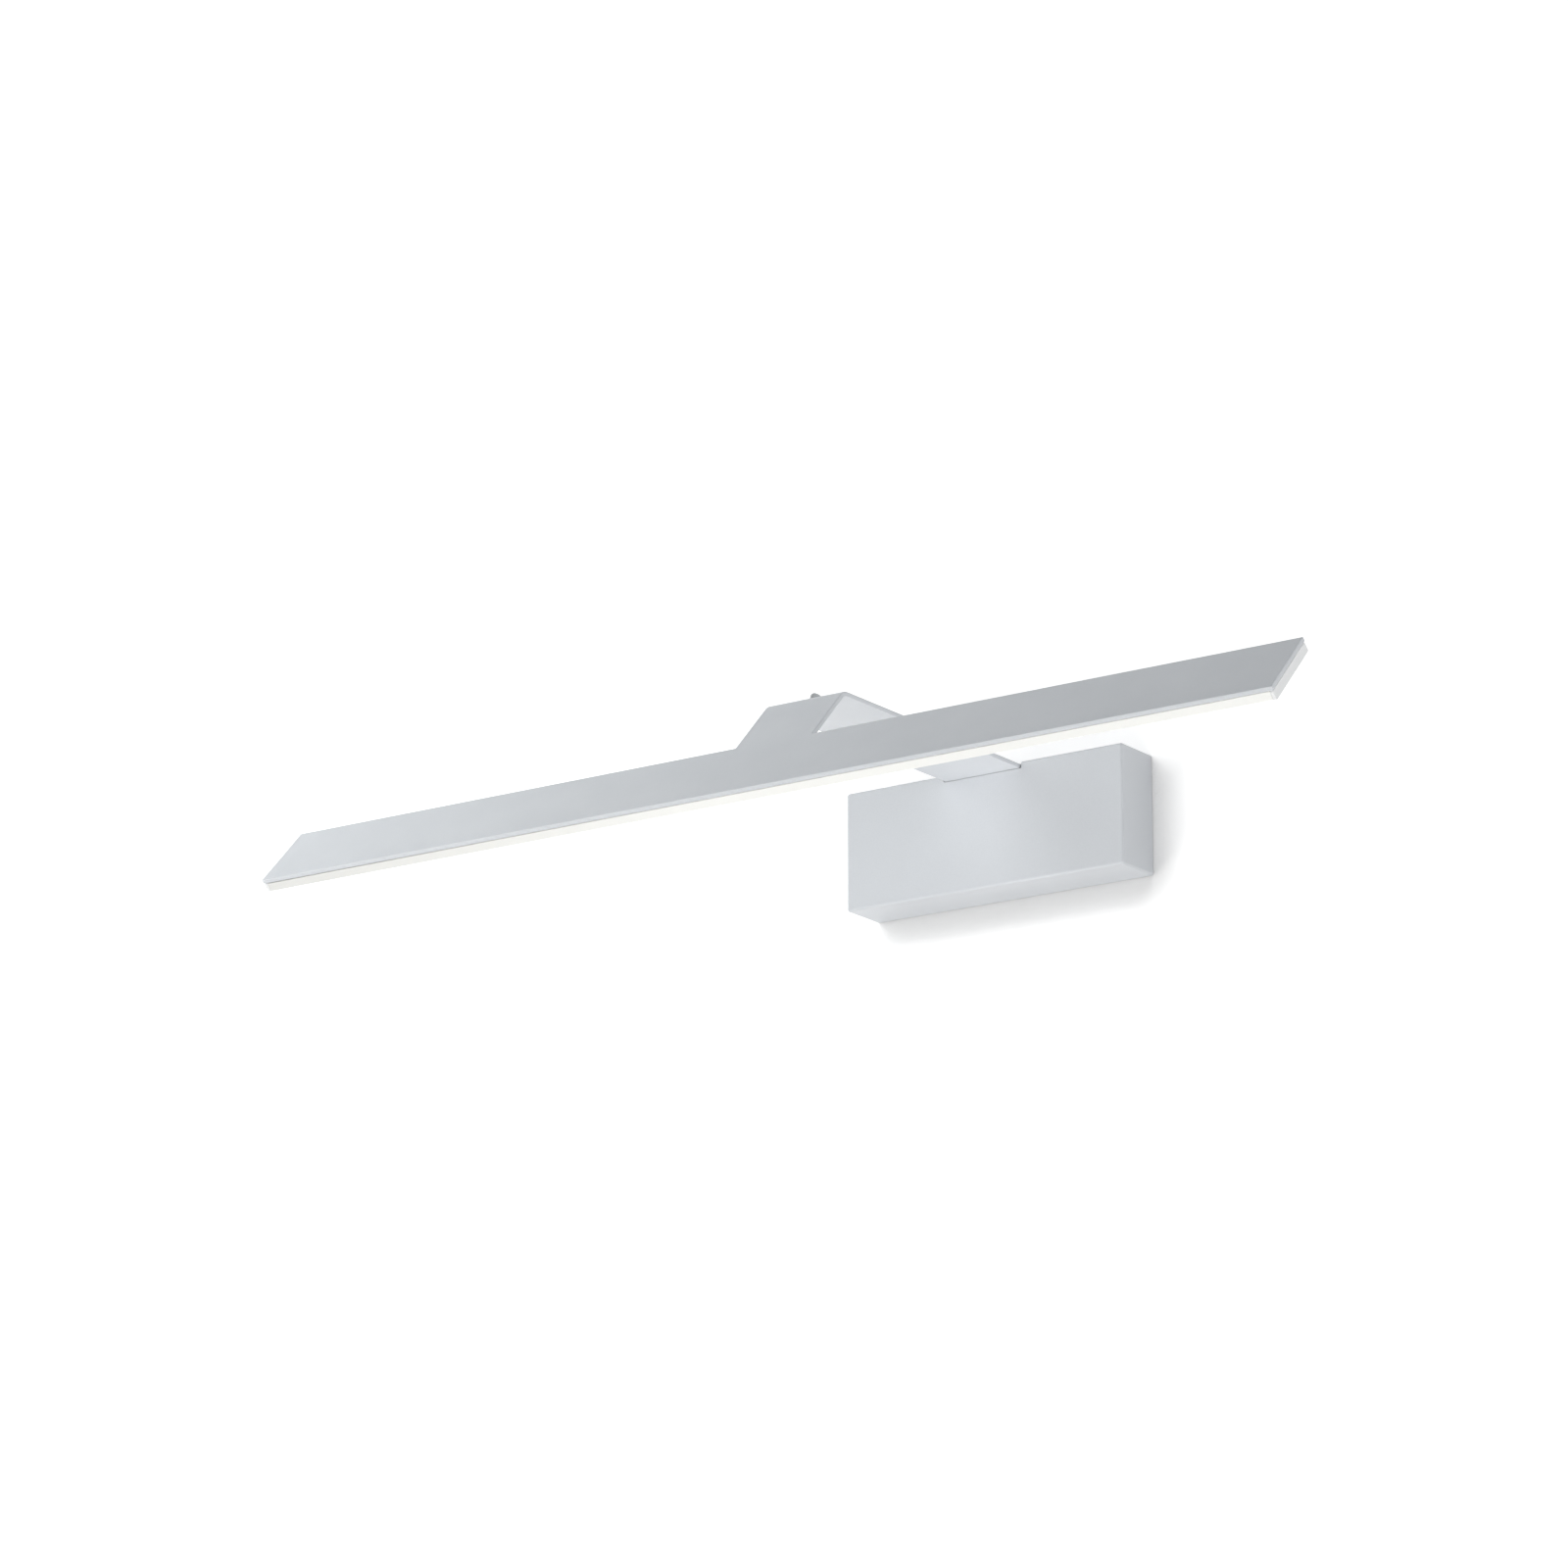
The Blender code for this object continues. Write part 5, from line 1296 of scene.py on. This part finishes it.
def backdrop_white(name, clear_back):
    """A plain matt white that is seen lifted by some more white, with less lift where a thing closes it in,
    which paints a soft shadow.
    """
    white = Finish(name, BACKDROP, roughness=0.9)
    towards = white.add("CombineXYZ", X=PAINTED_SHADOW_TILT.x, Y=PAINTED_SHADOW_TILT.y, Z=PAINTED_SHADOW_TILT.z).outputs["Vector"]
    # Ambient occlusion, tilted towards the upper left, cuts the lift back right of the canopy and below it:
    # a painted shadow.
    painted_shadow = white.add("AmbientOcclusion", Distance=PAINTED_SHADOW_REACH, Normal=towards)
    painted_shadow.samples = PAINTED_SHADOW_SAMPLES
    share = white.add("MapRange", Value=painted_shadow.outputs["AO"], From_Min=PAINTED_SHADOW_DARKEST, From_Max=PAINTED_SHADOW_CLEAR)
    lift = white.math("MULTIPLY", white.seen(), share.outputs["Result"])
    lift = white.math("MULTIPLY", lift, WALL_LIFT)
    if clear_back:
        side = white.add("NewGeometry").outputs["Backfacing"]
        clear = white.add("BsdfTransparent").outputs[0]
        mix = white.add("MixShader")
        for socket, output in zip(mix.inputs, (side, white.shader.outputs[0], clear)):
            white.feed(socket, output)
        white.fill(white.tree.nodes["Material Output"], Surface=mix.outputs[0])
    return white.done(Emission_Strength=lift, Emission_Color=WHITE, Specular_IOR_Level=0)


def wall():
    """A wall plane that faces the front, with an opening behind the backplate."""
    modelled = bmesh.new()
    rows = []
    for z in (FLOOR_Z, -OPENING_Z, OPENING_Z, WALL_HALF):
        rows.append([modelled.verts.new((x, 0, z)) for x in (-WALL_HALF, -OPENING_X, OPENING_X, WALL_HALF)])
    for low, high in ((0, 1), (1, 2), (2, 3)):
        for left, right in ((0, 1), (1, 2), (2, 3)):
            if (low, left) != (1, 1):
                corners = (rows[low][left], rows[low][right], rows[high][right], rows[high][left])
                modelled.faces.new(corners)
    return mesh_of(modelled)


def floor():
    """A floor plane in front of the wall and behind it."""
    modelled = bmesh.new()
    corners = ((-1, -1), (1, -1), (1, 1), (-1, 1))
    modelled.faces.new([modelled.verts.new((x * WALL_HALF, y * WALL_HALF, FLOOR_Z)) for x, y in corners])
    return mesh_of(modelled)


for name, mesh, clear_back in (("wall", wall(), True), ("floor", floor(), False)):
    stage = shape(mesh)
    stage.name = name
    mesh.materials.append(backdrop_white(name + "_white", clear_back))
    print("Staged", name)

# %% [markdown]
# Soft light comes from four sides. A near lamp at the upper left makes the bar's left end brighter
# than its right end. Two below light the undersides, as a pale floor would, the left one nearer
# the front. One far on the right keeps the canopy's side from going dark. The arm would still be
# dull where it meets the canopy, so a narrow spot from far below lights its underside there, with a
# soft patch on the canopy's front. The world fills the rest, and shows plain white to the camera
# and in reflections.

# %% Light
WORLD_LIGHT = 0.356
WORLD_COLOUR = (0.97, 0.988, 1.0, 1)
LAMPS = (
    ("left", (-0.88, -0.45, 0.48), (0.7, 1.1), 5.6, (0.96, 0.99, 1.0)),
    ("low_left", (-1.1, -1.1, -0.8), (0.8, 0.8), 9.9, (1.0, 0.99, 0.975)),
    ("low_right", (0.5, -0.8, -1.2), (0.8, 0.8), 7.4, (1.0, 0.99, 0.975)),
    ("side", (1.9, -0.45, 0.0), (0.7, 0.7), 6.8, (0.985, 0.99, 1.0)),
)
AIM = Vector((0, -0.12, 0))
SPOT_PLACE = Vector((0.15, -0.5, -1.0))
SPOT_AIM = Vector((0.010, -0.04, 0.028))
SPOT_REACH = 0.048
SPOT_SOFTNESS = 0.02
SPOT_POWER = 8.6
SPOT_COLOUR = (1.0, 0.98, 0.96)


def lamp(name, kind, place, aim, power, colour):
    """A lamp at a place, turned to a point."""
    data = bpy.data.lights.new(name, kind)
    data.energy = power
    data.color = colour
    made = bpy.data.objects.new(name, data)
    made.location = place
    made.rotation_euler = (aim - Vector(place)).to_track_quat("-Z", "Y").to_euler()
    bpy.context.scene.collection.objects.link(made)
    print("Lamp", name, power, "W")
    return data


for name, place, sides, power, colour in LAMPS:
    soft = lamp(name, "AREA", place, AIM, power, colour)
    soft.shape = "RECTANGLE"
    soft.size, soft.size_y = sides
spot = lamp("under", "SPOT", SPOT_PLACE, SPOT_AIM, SPOT_POWER, SPOT_COLOUR)
spot.spot_size = 2 * atan(SPOT_REACH / (SPOT_AIM - SPOT_PLACE).length)
spot.spot_blend = 1
spot.shadow_soft_size = SPOT_SOFTNESS

world = bpy.data.worlds.new("world")
bpy.context.scene.world = world
world.use_nodes = True
sky = Nodes(world.node_tree)
strength = sky.add("MapRange", Value=sky.seen(), To_Min=WORLD_LIGHT, To_Max=1.0).outputs["Result"]
sky.fill(world.node_tree.nodes["Background"], Color=WORLD_COLOUR, Strength=strength)
bpy.context.scene.view_settings.view_transform = "Standard"
print("World light", WORLD_LIGHT)
